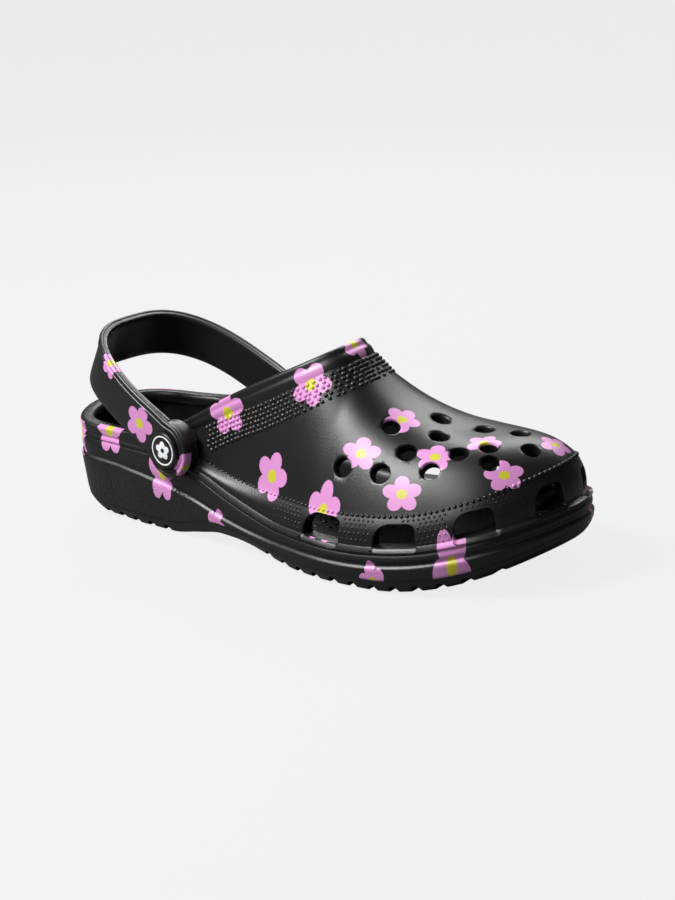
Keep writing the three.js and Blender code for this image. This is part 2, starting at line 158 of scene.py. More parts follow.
def heelward(x):
    """0 ahead of the heel, growing to 1 towards its back."""
    return np.clip((HEEL_BLEND_FROM - x) / HEEL_BLEND_LENGTH, 0, 1)


def vampward(x):
    """0 at the heel, growing to 1 where the upper covers the foot."""
    return np.clip((x - VAMP_BLEND_FROM) / VAMP_BLEND_LENGTH, 0, 1)


perimeter = ring(480, lambda x: 0 * x, lambda x: 0 * x)
print("perimeter", np.linalg.norm(np.diff(perimeter, axis=0, append=perimeter[:1]), axis=1).sum()
      .round(), "mm")

# %% [markdown]
# ## Skinning rings
# The moulding is skinned from rings, as a last is turned from sections. Quads between rings keep the
# reflections smooth. Subdivision would round the small steps away, so the steps are sampled instead.

# %% Dome over the foot and a skin through rings
TOE_FAN = float(station(72.8))
FAN_REACH = 30.0
VAMP_SQUARENESS, TOE_SQUARENESS = 2.3, 3.6
SQUARING_FROM, SQUARING_LENGTH = float(station(62)), 50


def dome(base, top_line, rows):
    """Rings that close a base ring over the foot, up to a crest line."""
    facing = np.roll(base[::-1], 1, axis=0)
    beyond = np.maximum(base[:, 0] - TOE_FAN, 0)
    spine_x = np.clip(base[:, 0], 0, TOE_FAN) + FAN_REACH * np.tanh(beyond / FAN_REACH)
    spine = np.column_stack([spine_x, (base[:, 1] + facing[:, 1]) / 2, top_line(spine_x)])
    toeward = np.clip((base[:, 0] - SQUARING_FROM) / SQUARING_LENGTH, 0, 1)
    power = VAMP_SQUARENESS + (TOE_SQUARENESS - VAMP_SQUARENESS) * toeward
    rings = []
    for rho in rows:
        plan = spine[:, :2] + (base[:, :2] - spine[:, :2]) * rho
        height = base[:, 2] + (spine[:, 2] - base[:, 2]) * (1 - rho**power)
        rings.append(np.column_stack([plan, height]))
    return rings


def as_object(name, verts, faces):
    """A mesh object from millimetre points, at the origin."""
    mesh = bpy.data.meshes.new(name)
    mesh.from_pydata((np.asarray(verts) * MM).tolist(), [], faces)
    mesh.validate()
    obj = bpy.data.objects.new(name, mesh)
    scene.collection.objects.link(obj)
    return obj


def face_outwards(obj):
    """Make a closed mesh's faces point out."""
    shape = bmesh.new()
    shape.from_mesh(obj.data)
    bmesh.ops.recalc_face_normals(shape, faces=shape.faces)
    if shape.calc_volume(signed=True) < 0:
        bmesh.ops.reverse_faces(shape, faces=shape.faces)
    shape.to_mesh(obj.data)
    shape.free()
    return obj


def skin(name, rings):
    """A closed skin through rings; each end is closed by rungs between facing points."""
    n, last = len(rings[0]), (len(rings) - 1) * len(rings[0])
    faces = [(r * n + i, r * n + (i + 1) % n, (r + 1) * n + (i + 1) % n, (r + 1) * n + i)
             for r in range(len(rings) - 1) for i in range(n)]
    for start in (0, last):
        for i in range(n // 2):
            corners = [start + k for k in (i, i + 1, n - i - 1, (n - i) % n)]
            faces.append(tuple(dict.fromkeys(corners)))
    return face_outwards(as_object(name, np.vstack(rings), faces))


# %% [markdown]
# ## The wall's profile
# Seen in section, the sole's side has a tread layer, a proud band, a groove, a soft shelf with a thin
# bead on it, and then the upper's wall, which is set back and holds the vents. All of it is drawn
# once as a list of insets and heights, and runs around the whole shoe.

# %% The outer skin of the moulding
AROUND = 480
TREAD_DEPTH = 5.8


# Each row is an inset, what is added to it at the heel or over the vamp, and a height.
TREAD_EDGE = [(4.4, 4, 0), (3.6, 3.8, 0.4), (2.4, 3.2, 2), (1.2, 2.7, 4),
              (0.7, 2.3, TREAD_DEPTH - 0.5), (0.8, 2.2, TREAD_DEPTH), (0.35, 2.0, TREAD_DEPTH + 0.5)]
BAND_GROOVE = [(0.1, 0, -0.7), (0.6, 0, -0.2), (1.15, 0, 0.2), (1.3, 0, 0.8), (1.0, 0, 1.7)]
SHELF = [(0.75, 0, -2.4), (1.25, 0, -1.7), (1.15, 0, -1.2), (0.6, 0, -0.7),
         (0.6, -0.25, -0.1), (0.85, -0.25, 0.5), (1.2, 0.7, 0.95), (1.3, 1.5, 1.6)]


def above(line, height):
    """A height line lifted by a height."""
    return lambda x: line(x) + height


def between(low, high, share):
    """A height line that lies a share of the way from one line to another."""
    return lambda x: low(x) + (high(x) - low(x)) * share


def profile_rows(line, table, blend):
    """(inset, height) functions from a table of rows above a height line."""
    return [(lambda x, i=inset, m=more: i + m * blend(x), above(line, height))
            for inset, more, height in table]


def wall_profile():
    """(inset, height) functions from the tread's edge up to the ridge."""
    rows = profile_rows(ground, TREAD_EDGE, heelward)
    tread_top, band_foot = above(ground, TREAD_DEPTH), above(band, -1.3)
    for share in (0.2, 0.4, 0.6, 0.8, 1):
        rows.append((lambda x, s=share: (0.3 + 1.9 * heelward(x)) * (1 - s) - 0.1 * s,
                     between(tread_top, band_foot, share)))
    rows += profile_rows(band, BAND_GROOVE, vampward)
    groove_top, shelf_foot = above(band, 1), above(lip, -2)
    for share in (0.35, 0.6):
        rows.append((lambda x, s=share: 0.7 - 0.2 * s + 0 * x,
                     between(groove_top, shelf_foot, share)))
    rows += profile_rows(lip, SHELF, vampward)
    shelf_top = above(lip, 1.6)
    for share in (0.12, 0.25, 0.4, 0.55, 0.7, 0.82, 0.92):
        rows.append((lambda x, s=share: (1.3 + 1.5 * vampward(x)) * (1 - s) + ridge_inset(x) * s
                     - 1.3 * vampward(x) * math.sin(math.pi * s), between(shelf_top, ridge, share)))
    rows.append((ridge_inset, ridge))
    return rows


DOME_ROWS = np.r_[0.985, 0.965, np.linspace(0.94, 0.1, 34), 0.04]
wall_rings = [ring(AROUND, inset, height) for inset, height in wall_profile()]
outer_rings = wall_rings + dome(wall_rings[-1], crest, DOME_ROWS)
shell = skin("clog_shell_moulding", outer_rings)
outer_skin = BVHTree.FromObject(shell, bpy.context.evaluated_depsgraph_get())
print("outer skin", len(shell.data.vertices), "points,", len(wall_rings), "wall rings")

# %% [markdown]
# ## Hollowing the moulding
# The foot space and the ankle opening are cut out as solids, so that the wall keeps its thickness
# everywhere. The Manifold solver is quick and exact on closed meshes.

# %% A helper that cuts and joins solids
def carve(body, tools, operation="DIFFERENCE"):
    """Cut tools from a body, or join them to it, and apply the result."""
    for tool in tools:
        step = body.modifiers.new("carve", "BOOLEAN")
        step.object, step.operation, step.solver = tool, operation, "MANIFOLD"
    bpy.context.view_layer.update()
    evaluated = body.evaluated_get(bpy.context.evaluated_depsgraph_get())
    mesh = bpy.data.meshes.new_from_object(evaluated)
    body.modifiers.clear()
    old, body.data = body.data, mesh
    bpy.data.meshes.remove(old)
    for tool in tools:
        bpy.data.objects.remove(tool)
    return body


def prism_across(name, outline, half_width):
    """A side-view outline, x and z, carried straight across the shoe."""
    n = len(outline)
    verts = [(x, y, z) for y in (-half_width, half_width) for x, z in outline]
    sides = [(i, (i + 1) % n, n + (i + 1) % n, n + i) for i in range(n)]
    caps = [tuple(range(n)), tuple(range(n, 2 * n))]
    return face_outwards(as_object(name, verts, sides + caps))


# %% Cut the foot space and the ankle opening
INSIDE_AROUND = 240
FOOTBED_ROUND, FOOTBED_RISE = 7, 5
INSIDE_DOME_ROWS = np.r_[np.linspace(0.97, 0.1, 18), 0.04]


def wall_thickness(x):
    """Thick at the heel's rim, thinner over the foot."""
    return RIM_WALL + (UPPER_WALL - RIM_WALL) * vampward(x)


def footbed_inset(x):
    """Distance from the outline to the edge of the footbed."""
    return RIM_WALL + 1 + (LIP_WIDTH - RIM_WALL - 1) * vampward(x)


def foot_space():
    """The room for the foot, from the footbed's rounded edge up to the inside of the dome."""
    top_inset, top_height = lambda x: ridge_inset(x) + wall_thickness(x), lambda x: ridge(x) - 1
    rings = []
    for turn in np.radians([0, 25, 50, 70, 90]):
        rings.append(ring(
            INSIDE_AROUND,
            lambda x, t=turn: footbed_inset(x) + FOOTBED_ROUND * (1 - math.sin(t)),
            lambda x, t=turn: footbed(x) + FOOTBED_RISE * (1 - math.cos(t))))
    for share in (0.33, 0.66):
        rings.append(ring(
            INSIDE_AROUND,
            lambda x, s=share: footbed_inset(x) * (1 - s) + top_inset(x) * s - 0.6,
            lambda x, s=share: (footbed(x) + FOOTBED_RISE) * (1 - s) + top_height(x) * s))
    top = ring(INSIDE_AROUND, top_inset, top_height)
    return skin("foot_space", rings + [top] + dome(top, above(crest, -UPPER_WALL), INSIDE_DOME_ROWS))


collar_x = np.linspace(HEEL_BACK, float(station(COLLAR_TOP)), 120)
BEHIND_HEEL, OVERHEAD, BEYOND_SIDES = HEEL_BACK - 20, 200, 150
opening = [(BEHIND_HEEL, OVERHEAD), (BEHIND_HEEL, float(collar(HEEL_BACK)))]
opening += [(x, float(collar(x))) for x in collar_x] + [(collar_x[-1], OVERHEAD)]
carve(shell, [foot_space(), prism_across("ankle_opening", opening, BEYOND_SIDES)])
print("hollow shell", len(shell.data.polygons), "faces")

# %% [markdown]
# ## The rolled edge of the opening
# Moulded foam tears at a thin edge, so the opening is finished with a thick roll and a second soft
# ridge below it. A bevel would follow the mesh's facets. A section swept along the edge follows the
# shape instead, low at the heel and tall at the front of the collar.

# %% The line of the opening's edge
def edge_line(count):
    """Points where the outer skin meets the collar line, closed, with the skin's normals."""
    columns = np.stack(outer_rings)
    over = columns[:, :, 2] - collar(columns[:, :, 0])
    found = []
    for i in range(AROUND):
        crossing = np.flatnonzero((over[:-1, i] < 0) & (over[1:, i] >= 0))
        if columns[0, i, 0] > station(COLLAR_TOP) or not len(crossing):
            continue
        r = crossing[0]
        share = over[r, i] / (over[r, i] - over[r + 1, i])
        found.append((i, columns[r, i] * (1 - share) + columns[r + 1, i] * share))
    start = next(k for k, (i, _) in enumerate(found) if i > AROUND // 2)
    points = np.array([p for _, p in found[start:] + found[:start]])
    points = np.vstack([points, [[float(station(COLLAR_TOP)), 0, float(crest(station(COLLAR_TOP)))]]])
    return resample(points, count, closed=True)


def resample(points, count, closed=False):
    """Evenly spaced points along a smooth curve through the given ones."""
    points = np.asarray(points, float)
    if closed:
        points = np.vstack([points, points[:1]])
    length = np.r_[0, np.cumsum(np.linalg.norm(np.diff(points, axis=0), axis=1))]
    even = np.linspace(0, length[-1], count + 1 if closed else count)
    curve = np.column_stack([np.interp(even, length, axis) for axis in points.T])
    curve = curve[:-1] if closed else curve
    for _ in range(6 if closed else 0):
        curve = (np.roll(curve, 1, axis=0) + 2 * curve + np.roll(curve, -1, axis=0)) / 4
    return curve


def land(point):
    """Nearest point of the outer skin and its outward normal, in millimetres."""
    spot, normal, _, _ = outer_skin.find_nearest(Vector(np.asarray(point) * MM))
    return np.array(spot) / MM, np.array(normal)


edge = edge_line(420)
edge_facing = np.array([land(p)[1] for p in edge])
edge_facing += np.roll(edge_facing, 1, axis=0) + np.roll(edge_facing, -1, axis=0)
edge_facing /= np.linalg.norm(edge_facing, axis=1)[:, None]
edge_run = np.roll(edge, -1, axis=0) - np.roll(edge, 1, axis=0)
edge_down = np.cross(edge_run, edge_facing)
edge_down /= np.linalg.norm(edge_down, axis=1)[:, None]
edge_down *= np.where(edge_down[:, 2] > 0, -1, 1)[:, None]
print("edge of the opening", np.linalg.norm(edge_run, axis=1).sum().round() / 2, "mm long")

# %% Sweep a section along a path
def sweep(name, sections, closed=True):
    """A tube through sections with equal point counts; an open one gets flat ends."""
    count, n = len(sections), len(sections[0])
    last = count if closed else count - 1
    faces = []
    for r in range(last):
        here, there = r * n, (r + 1) % count * n
        faces += [(here + i, here + (i + 1) % n, there + (i + 1) % n, there + i) for i in range(n)]
    if not closed:
        faces += [tuple(range(n)), tuple(range((count - 1) * n, count * n))]
    return face_outwards(as_object(name, np.vstack(sections), faces))


EDGE_HEEL, EDGE_COLLAR = 5.0, 8.6
EDGE_GROWS_FROM, EDGE_GROWTH_LENGTH = 30, 45
STRAP_REST_X, STRAP_REST_LENGTH, STRAP_REST_SHARE = 15, 14, 0.9
# Each point is a distance out of the wall and a share of the roll's height below the edge.
ROLL = [(-0.5, 1.05), (0.1, 0.95), (0.25, 0.85), (0.3, 0.74), (0.8, 0.66), (1.1, 0.56), (0.95, 0.47),
        (0.2, 0.4), (0.1, 0.36), (0.8, 0.28), (1.35, 0.15), (1.2, -0.01), (0.3, -0.1), (-1.2, -0.13)]


def frontward(x):
    """0 at the heel, growing to 1 at the front of the collar."""
    return np.clip((x - EDGE_GROWS_FROM) / EDGE_GROWTH_LENGTH, 0, 1)


def roll_height(x):
    """Low at the heel, tall at the front of the collar."""
    return EDGE_HEEL + (EDGE_COLLAR - EDGE_HEEL) * frontward(x)


def edge_roll():
    """The roll along the edge, nearly flush where the lowered strap passes it."""
    height, wall = roll_height(edge[:, 0]), wall_thickness(edge[:, 0])
    under_strap = np.exp(-((edge[:, 0] - STRAP_REST_X) / STRAP_REST_LENGTH)**2)
    proud = (0.7 + 0.6 * frontward(edge[:, 0])) * (1 - STRAP_REST_SHARE * under_strap)
    sections = []
    for k, point in enumerate(edge):
        outer = [(o * proud[k] if o > 0 else o, v * height[k]) for o, v in ROLL]
        back = -wall[k] - 0.5
        inner = [(back + 1, -0.12 * height[k]), (back, 0.6), (back - 0.1, 0.5 * height[k]),
                 (back + 0.3, height[k]), (back + 1.4, height[k] + 0.5)]
        sections.append([point + edge_facing[k] * o + edge_down[k] * v for o, v in outer + inner])
    return sweep("edge_roll", [resample(s, 44, closed=True) for s in sections])


carve(shell, [edge_roll()], "UNION")
print("shell with its rolled edge", len(shell.data.polygons), "faces")

# %% [markdown]
# ## Seats for the strap
# Each end of the strap turns in a round pocket, on an ear of foam that the rivet is snapped through.
# The pockets and bores are turned shapes, so a lathe helper makes them all.

# %% A lathe, and the two strap seats
STRAP_THICKNESS = 4.0
BOSS_RADIUS = 13.3
HEAD_RADIUS, BADGE_RADIUS, POST_RADIUS, CAP_RADIUS = 8.5, 7.0, 3.9, 8.0
GAP, RUNNING_GAP = 0.3, 0.6
EAR_THICKNESS, EAR_RADIUS = UPPER_WALL, BOSS_RADIUS - 1.3
POCKET_DEPTH, CAP_ROOM_DEPTH = 20, 10
joints = {joint["name"]: joint for joint in frame["joints"]}
PIVOT_LINE = np.array(joints["strap_pivot"]["axis"], float)
PIVOT_LINE /= np.linalg.norm(PIVOT_LINE)
SEATS = {name: (np.array(joints[f"{name}_rivet_turn"]["pos_m"]) / MM, PIVOT_LINE * side)
         for name, side in (("outer", -1), ("inner", 1))}


def lathe(name, profile, centre, axis, sides):
    """A turned solid: profile rows are radius and distance along the axis from the centre."""
    to_place = Vector(axis).to_track_quat("Z", "X").to_matrix()
    centre = Vector(centre)
    verts, rings_at = [], []
    for radius, along in profile:
        steps = sides if radius > 1e-6 else 1
        rings_at.append(list(range(len(verts), len(verts) + steps)))
        for k in range(steps):
            turn = 2 * math.pi * k / steps
            spot = Vector((radius * math.cos(turn), radius * math.sin(turn), along))
            verts.append(centre + to_place @ spot)
    faces = []
    closed = profile[0][0] > 1e-6
    pairs = zip(rings_at, rings_at[1:] + rings_at[:1]) if closed else zip(rings_at, rings_at[1:])
    for low, high in pairs:
        if len(low) == len(high) == 1:
            continue
        for k in range(sides):
            corner = [low[k % len(low)], low[(k + 1) % len(low)],
                      high[(k + 1) % len(high)], high[k % len(high)]]
            faces.append(tuple(dict.fromkeys(corner)))
    return face_outwards(as_object(name, [tuple(v) for v in verts], faces))


def rod(name, seat, out, radius, length, sides=96, rounding=0.0):
    """A cylinder on the pivot line, centred a distance out of a seat."""
    h = length / 2
    profile = [(0, -h), (radius, -h), (radius, h), (0, h)]
    if rounding:
        profile = [(0, -h), (radius - rounding, -h), (radius, -h + rounding),
                   (radius, h - rounding), (radius - rounding, h), (0, h)]
    point, outward = seat
    return lathe(name, profile, point + outward * out, outward, sides)


for seat in SEATS.values():
    carve(shell, [rod("ear", seat, -EAR_THICKNESS / 2, EAR_RADIUS, EAR_THICKNESS)], "UNION")
    carve(shell, [rod("pocket", seat, POCKET_DEPTH / 2, BOSS_RADIUS + RUNNING_GAP, POCKET_DEPTH),
                  rod("cap_room", seat, -EAR_THICKNESS - CAP_ROOM_DEPTH / 2,
                      CAP_RADIUS + RUNNING_GAP, CAP_ROOM_DEPTH),
                  rod("bore", seat, 0, POST_RADIUS + RUNNING_GAP, 4 * EAR_THICKNESS)])
print("strap seats at", {name: point.round(1).tolist() for name, (point, _) in SEATS.items()}, "mm")

# %% [markdown]
# ## Ventilation holes and side vents
# Thirteen round holes let air and water through the toe box, and four arched vents stand on the
# sole's shelf on each side. Sharp holes look cut, but moulded ones have a rolled mouth, so each
# cutter flares where it meets the skin.

# %% Cut the round holes
HOLE_RADIUS = 4.0
HOLE_DEPTH = 22
ABOVE_THE_SHOE = 0.3
# Percent of the length, and percent of the width from the middle line.
TOP_HOLES = [
    (65.5, -37.8), (72.6, -36.6), (80.8, -31), (89.1, -18.7), (70.9, -21), (75.6, -27.8),
    (83.7, -20.8), (78.3, -13.8), (87.2, -11.7), (92.8, -2), (75.2, 0), (82.3, 4.8), (88.4, 8),
]


def from_above(x, y):
    """Where a line dropped at x, y meets the outer skin, and the normal there."""
    start = Vector((x * MM, y * MM, ABOVE_THE_SHOE))
    spot, normal, _, _ = outer_skin.ray_cast(start, Vector((0, 0, -1)))
    return np.array(spot) / MM, np.array(normal)


hole_spots = [from_above(float(station(px)), WIDTH * py / 100) for px, py in TOP_HOLES]
MOUTH = [(0, -1.3), (0.1, -0.9), (0.3, -0.5), (0.65, -0.2), (1.05, -0.02), (1.4, 0.1), (1.6, 3)]
FLARE = [(0, -HOLE_DEPTH), (HOLE_RADIUS, -HOLE_DEPTH)]
FLARE += [(HOLE_RADIUS + wider, along) for wider, along in MOUTH] + [(0, 3)]
carve(shell, [lathe("hole_cutter", FLARE, spot, normal, 48) for spot, normal in hole_spots])
print(len(hole_spots), "holes of", 2 * HOLE_RADIUS, "mm")

# %% Cut the side vents
# Percent of the length, width and height.
VENTS = [(63.2, 20, 10.5), (77.9, 19, 9.5), (90.8, 18, 10), (98.7, 15, 10.5)]
VENT_LIFT, VENT_DEPTH, VENT_SEARCH = 1.2, 20, 12
VENT_MOUTH = [(-1.5, 0), (-0.9, 0.1), (-0.4, 0.38), (0.05, 0.9), (0.5, 1.6), (6, 1.7)]
rail_points, rail_facing = rail(960)


def vent_outline(width, height):
    """The arch of a vent: flat foot and top, upright at the rear, sloping at the front."""
    def bend(a, b, c, count):
        return [tuple((1 - t)**2 * p + 2 * t * (1 - t) * q + t * t * r for p, q, r in zip(a, b, c))
                for t in np.arange(count) / count]

    def line(a, b, count):
        return bend(a, ((a[0] + b[0]) / 2, (a[1] + b[1]) / 2), b, count)

    w, h = width, height
    return np.array(
        line((-w / 2 + 1, 0), (w / 2 - 1.5, 0), 12)
        + bend((w / 2 - 1.5, 0), (w / 2, 0), (w / 2, h * 0.12), 5)
        + bend((w / 2, h * 0.12), (w * 0.45, h * 0.95), (w * 0.1, h), 16)
        + line((w * 0.1, h), (-w * 0.3, h), 7)
        + bend((-w * 0.3, h), (-w / 2, h), (-w / 2, h * 0.7), 9)
        + line((-w / 2, h * 0.7), (-w / 2, 1), 6)
        + bend((-w / 2, 1), (-w / 2, 0), (-w / 2 + 1, 0), 4))


def vent_frame(percent, side):
    """Foot of a vent on the shelf, with its directions along, up and out of the wall."""
    x = float(station(percent))
    half = np.sign(rail_points[:, 1]) == side
    k = np.flatnonzero(half)[np.argmin(abs(rail_points[half, 0] - x))]
    outward = np.array([*rail_facing[k], 0])
    forward = np.array([rail_facing[k][1], -rail_facing[k][0], 0]) * -side
    spot_x = rail_points[k, 0]
    run = forward[0] * float(lip(spot_x + 3) - lip(spot_x - 3)) / 6
    along = np.array([forward[0], forward[1], run])
    along /= np.linalg.norm(along)
    up = np.cross(outward, along)
    up *= np.sign(up[2]) / np.linalg.norm(up)
    out = np.cross(along, up)
    out *= np.sign(out @ outward)
    return np.array([*rail_points[k], float(lip(spot_x)) + VENT_LIFT]), along, up, out


def vent_cutter(place, width, height):
    """An arched cutter that widens where it meets the skin."""
    foot, along, up, out = place
    outline = vent_outline(width, height)
    run = np.roll(outline, -1, axis=0) - np.roll(outline, 1, axis=0)
    away = np.column_stack([run[:, 1], -run[:, 0]]) / np.linalg.norm(run, axis=1)[:, None]
    skin_at = []
    for a, u in outline:
        start = foot + along * a + up * u + out * VENT_SEARCH
        hit = outer_skin.ray_cast(Vector(start * MM), Vector(-out))
        skin_at.append(VENT_SEARCH - hit[3] / MM if hit[0] else -3.0)
    skin_at = np.array(skin_at)
    sections = []
    for depth, wider in [(-VENT_DEPTH - skin_at, 0)] + VENT_MOUTH:
        flat = outline + away * wider
        sections.append(foot + np.outer(flat[:, 0], along) + np.outer(flat[:, 1], up)
                        + np.outer(skin_at + depth, out))
    return sweep("vent_cutter", sections, closed=False)


vents = [(side, vent_frame(percent, side), width, height)
         for percent, width, height in VENTS for side in (-1, 1)]
for _, *vent in vents:
    carve(shell, [vent_cutter(*vent)])
print(len(vents), "vents;", len(shell.data.polygons), "faces")

# %% [markdown]
# ## The tread
# The sole stands on lugs: grooves run across the forefoot and the heel, and one more follows the
# outline. The grooves taper, so that the moulding lets go of its tool.

# %% Cut the tread
GROOVE_PITCH, GROOVE_WIDTH, GROOVE_DEPTH = 10.0, 3.4, 3.2
HEEL_GROOVES, FOREFOOT_GROOVES, RING_GROOVE_INSET = (-24, 32), (92, 205), 17


def cross_groove(x):
    """A tapered bar across the sole, as deep as the groove at its station."""
    slope = float(ground(x + 2) - ground(x - 2)) / 4
    low, high = float(ground(x)) - 6, float(ground(x)) + GROOVE_DEPTH
    w = GROOVE_WIDTH / 2
    outline = [(x - w - 1 - slope * 6, low), (x + w + 1 - slope * 6, low), (x + w + 0.5, high - 2.2),
               (x + w - 0.5, high), (x - w + 0.5, high), (x - w - 0.5, high - 2.2)]
    return prism_across("cross_groove", outline, 90)


def ring_groove(inset):
    """A groove that follows the outline, at a distance inside it."""
    corner = [(-1.6, -4), (1.6, -4), (0.8, GROOVE_DEPTH - 0.4), (-0.8, GROOVE_DEPTH - 0.4)]
    sections = []
    for (x, y), (nx, ny) in zip(*rail(240)):
        z = float(ground(x))
        sections.append([(x - nx * (inset + d), y - ny * (inset + d), z + h) for d, h in corner])
    return sweep("ring_groove", sections)


grooves = [cross_groove(x) for first, last in (HEEL_GROOVES, FOREFOOT_GROOVES)
           for x in np.arange(first, last, GROOVE_PITCH)]
for groove in grooves:
    carve(shell, [groove])
carve(shell, [ring_groove(RING_GROOVE_INSET)])
print(len(grooves), "cross grooves;", len(shell.data.polygons), "faces")

# %% [markdown]
# ## The heel strap
# The strap is a flat band of the same foam that swells into a round boss at each end. It leaves the
# pivots, rises behind the heel and bends around it. A curve with a bevel would twist, so the band is
# swept with its width set square to the line that it draws in the side view, and tilted a little
# further forward near the pivots.

# %% The strap's band
STRAP_WIDTH, STRAP_REAR_WIDTH = 20.5, 23.5
STRAP_REACH, STRAP_RISE, STRAP_SHIFT = 65.5, 33.0, 3.0
FIRST_SLOPE, SQUARENESS, WIDTH_LEAN = 0.6, 2.9, 0.55
BOSS_FAIRING, FAIRING_LENGTH = 2.4, 17
outer_seat, inner_seat = SEATS["outer"][0], SEATS["inner"][0]
strap_middle = (outer_seat + inner_seat) / 2
strap_half = np.linalg.norm(inner_seat - outer_seat) / 2 + GAP + STRAP_THICKNESS / 2
backward, upward = np.array([-PIVOT_LINE[1], PIVOT_LINE[0], 0]), np.array([0, 0, 1.0])
bend = (FIRST_SLOPE * STRAP_REACH - STRAP_RISE) / STRAP_REACH**2


def strap_frames(steps):
    """Centre, width direction, inward direction and half-width at each step of the band."""
    angle = np.linspace(-0.5, 0.5, 8 * steps) * math.pi * 0.985
    share = np.cos(angle)**(2 / SQUARENESS)
    out = np.sign(angle) * abs(np.sin(angle))**(2 / SQUARENESS)
    back = STRAP_REACH * share
    centre = (strap_middle + np.outer(strap_half * out - STRAP_SHIFT * share**2, PIVOT_LINE)
              + np.outer(back, backward) + np.outer(FIRST_SLOPE * back - bend * back**2, upward))
    centre = resample(centre, steps + 1)
    back = (centre - strap_middle) @ backward
    rearward = (back / STRAP_REACH)**2
    lean = FIRST_SLOPE - 2 * bend * back + WIDTH_LEAN * (1 - rearward)
    run = np.gradient(centre, axis=0)
    run /= np.linalg.norm(run, axis=1)[:, None]
    inward = np.cross(run, upward - np.outer(lean, backward))
    inward /= np.linalg.norm(inward, axis=1)[:, None]
    half_wide = (STRAP_WIDTH + (STRAP_REAR_WIDTH - STRAP_WIDTH) * rearward) / 2
    return centre, np.cross(inward, run), inward, half_wide


centre, wide, inward, half_wide = strap_frames(200)


def band_section(points):
    """Rounded bar with a full upper rim and a slightly dished inner face, for a half-width of 1."""
    turn = 2 * math.pi * np.arange(points) / points
    a = np.sign(np.cos(turn)) * abs(np.cos(turn))**0.34
    b = np.sign(np.sin(turn)) * abs(np.sin(turn))**0.42 * (STRAP_THICKNESS - 0.2) / 2
    dish = 0.45 * np.clip(1 - (a / 0.8)**2, 0, 1) * (b > 0.5)
    return np.column_stack([a, b - dish])


def follow(steps, a, b):
    """Points on the band at width a and depth b, for chosen steps."""
    return centre[steps] + wide[steps] * a[:, None] + inward[steps] * b


section = band_section(56)
fairing = BOSS_FAIRING * np.exp(-((centre - strap_middle) @ backward / FAIRING_LENGTH)**2)
band_sections = []
for p, w, i, half, more in zip(centre, wide, inward, half_wide, fairing):
    across = section[:, 0] * half + np.clip(section[:, 0], 0, 1) * more
    band_sections.append(p + np.outer(across, w) + np.outer(section[:, 1], i))
strap = sweep("heel_strap_band", band_sections, closed=False)
print("strap", len(centre), "sections; rear at x =", centre[:, 0].min().round(1), "mm")

# %% The bosses and the raised beads that frame them
HALF_STRAP, BOSS_ROUNDING = STRAP_THICKNESS / 2, 0.7
BEAD_CLEAR_OF_PIVOT, BEAD_ENDS_AT = 16, 285
# Each bead's radius around a boss, its distance below the band's edge, and its thickness.
BEADS = [(12.1, 0.8, 1.15), (9.9, 3.3, 0.9)]
for seat in SEATS.values():
    boss = rod("boss", seat, GAP + HALF_STRAP, BOSS_RADIUS, STRAP_THICKNESS, 128, BOSS_ROUNDING)
    carve(strap, [boss], "UNION")

along_strap = backward + FIRST_SLOPE * upward
along_strap /= np.linalg.norm(along_strap)
across_strap = np.cross(PIVOT_LINE, along_strap)
across_strap *= np.sign(across_strap[2])


def around_boss(name, radius, start, end, count):
    """Points of an arc on a boss's outer face; angles from the strap's direction, upper side +."""
    point, outward = SEATS[name]
    turn = np.radians(np.linspace(start, end, count))
    return (point + outward * (GAP + STRAP_THICKNESS) + np.outer(radius * np.cos(turn), along_strap)
            + np.outer(radius * np.sin(turn), across_strap))


def bead_path(radius, below):
    """One bead: around one boss, below the band's upper edge, and around the other boss."""
    away = centre - strap_middle
    steps = np.flatnonzero(np.hypot(away @ backward, away[:, 2]) > BEAD_CLEAR_OF_PIVOT)
    width_at = (half_wide + fairing)[steps] - below
    meet = math.degrees(math.asin(width_at[0] / radius))
    middle = follow(steps, width_at, -HALF_STRAP + 0.1)
    first = around_boss("outer", radius, BEAD_ENDS_AT, meet + 4, 60)
    second = around_boss("inner", radius, meet + 4, BEAD_ENDS_AT, 60)
    return resample(np.vstack([first, middle, second]), 420)


def bead(name, path, thickness):
    """A round bead half sunk in the strap's face, thinning to nothing at its ends."""
    path = path.copy()
    for _ in range(8):
        path[1:-1] = (path[:-2] + 2 * path[1:-1] + path[2:]) / 4
    run = np.gradient(path, axis=0)
    run /= np.linalg.norm(run, axis=1)[:, None]
    nearest = np.argmin(np.linalg.norm(path[:, None] - centre[None], axis=2), axis=1)
    flat = inward[nearest] - run * np.sum(inward[nearest] * run, axis=1)[:, None]
    flat /= np.linalg.norm(flat, axis=1)[:, None]
    side_of = np.cross(run, flat)
    step = np.arange(len(path))
    ends = np.clip(np.minimum(step, step[::-1]) / 14, 0.15, 1)
    turn = 2 * math.pi * np.arange(12) / 12
    sections = [p + thickness * s * (np.outer(np.cos(turn), w) + np.outer(np.sin(turn), f)) + f * 0.35
                for p, w, f, s in zip(path, side_of, flat, ends)]
    return sweep(name, sections, closed=False)


for radius, below, thickness in BEADS:
    carve(strap, [bead("strap_bead", bead_path(radius, below), thickness)], "UNION")
for seat in SEATS.values():
    carve(strap, [rod("seat_clearance", seat, -5, BOSS_RADIUS + 2, 10),
                  rod("bore", seat, GAP + HALF_STRAP, POST_RADIUS + RUNNING_GAP, 4 * STRAP_THICKNESS)])
strap.name = "heel_strap_moulding"
print("strap moulding", len(strap.data.polygons), "faces")

# %% [markdown]
# ## The rivets
# Each rivet is a plastic head with a printed badge in it, and a cap that snaps on inside the shoe.
# They are turned parts, so the same lathe makes them, with the small fillets that catch the light.

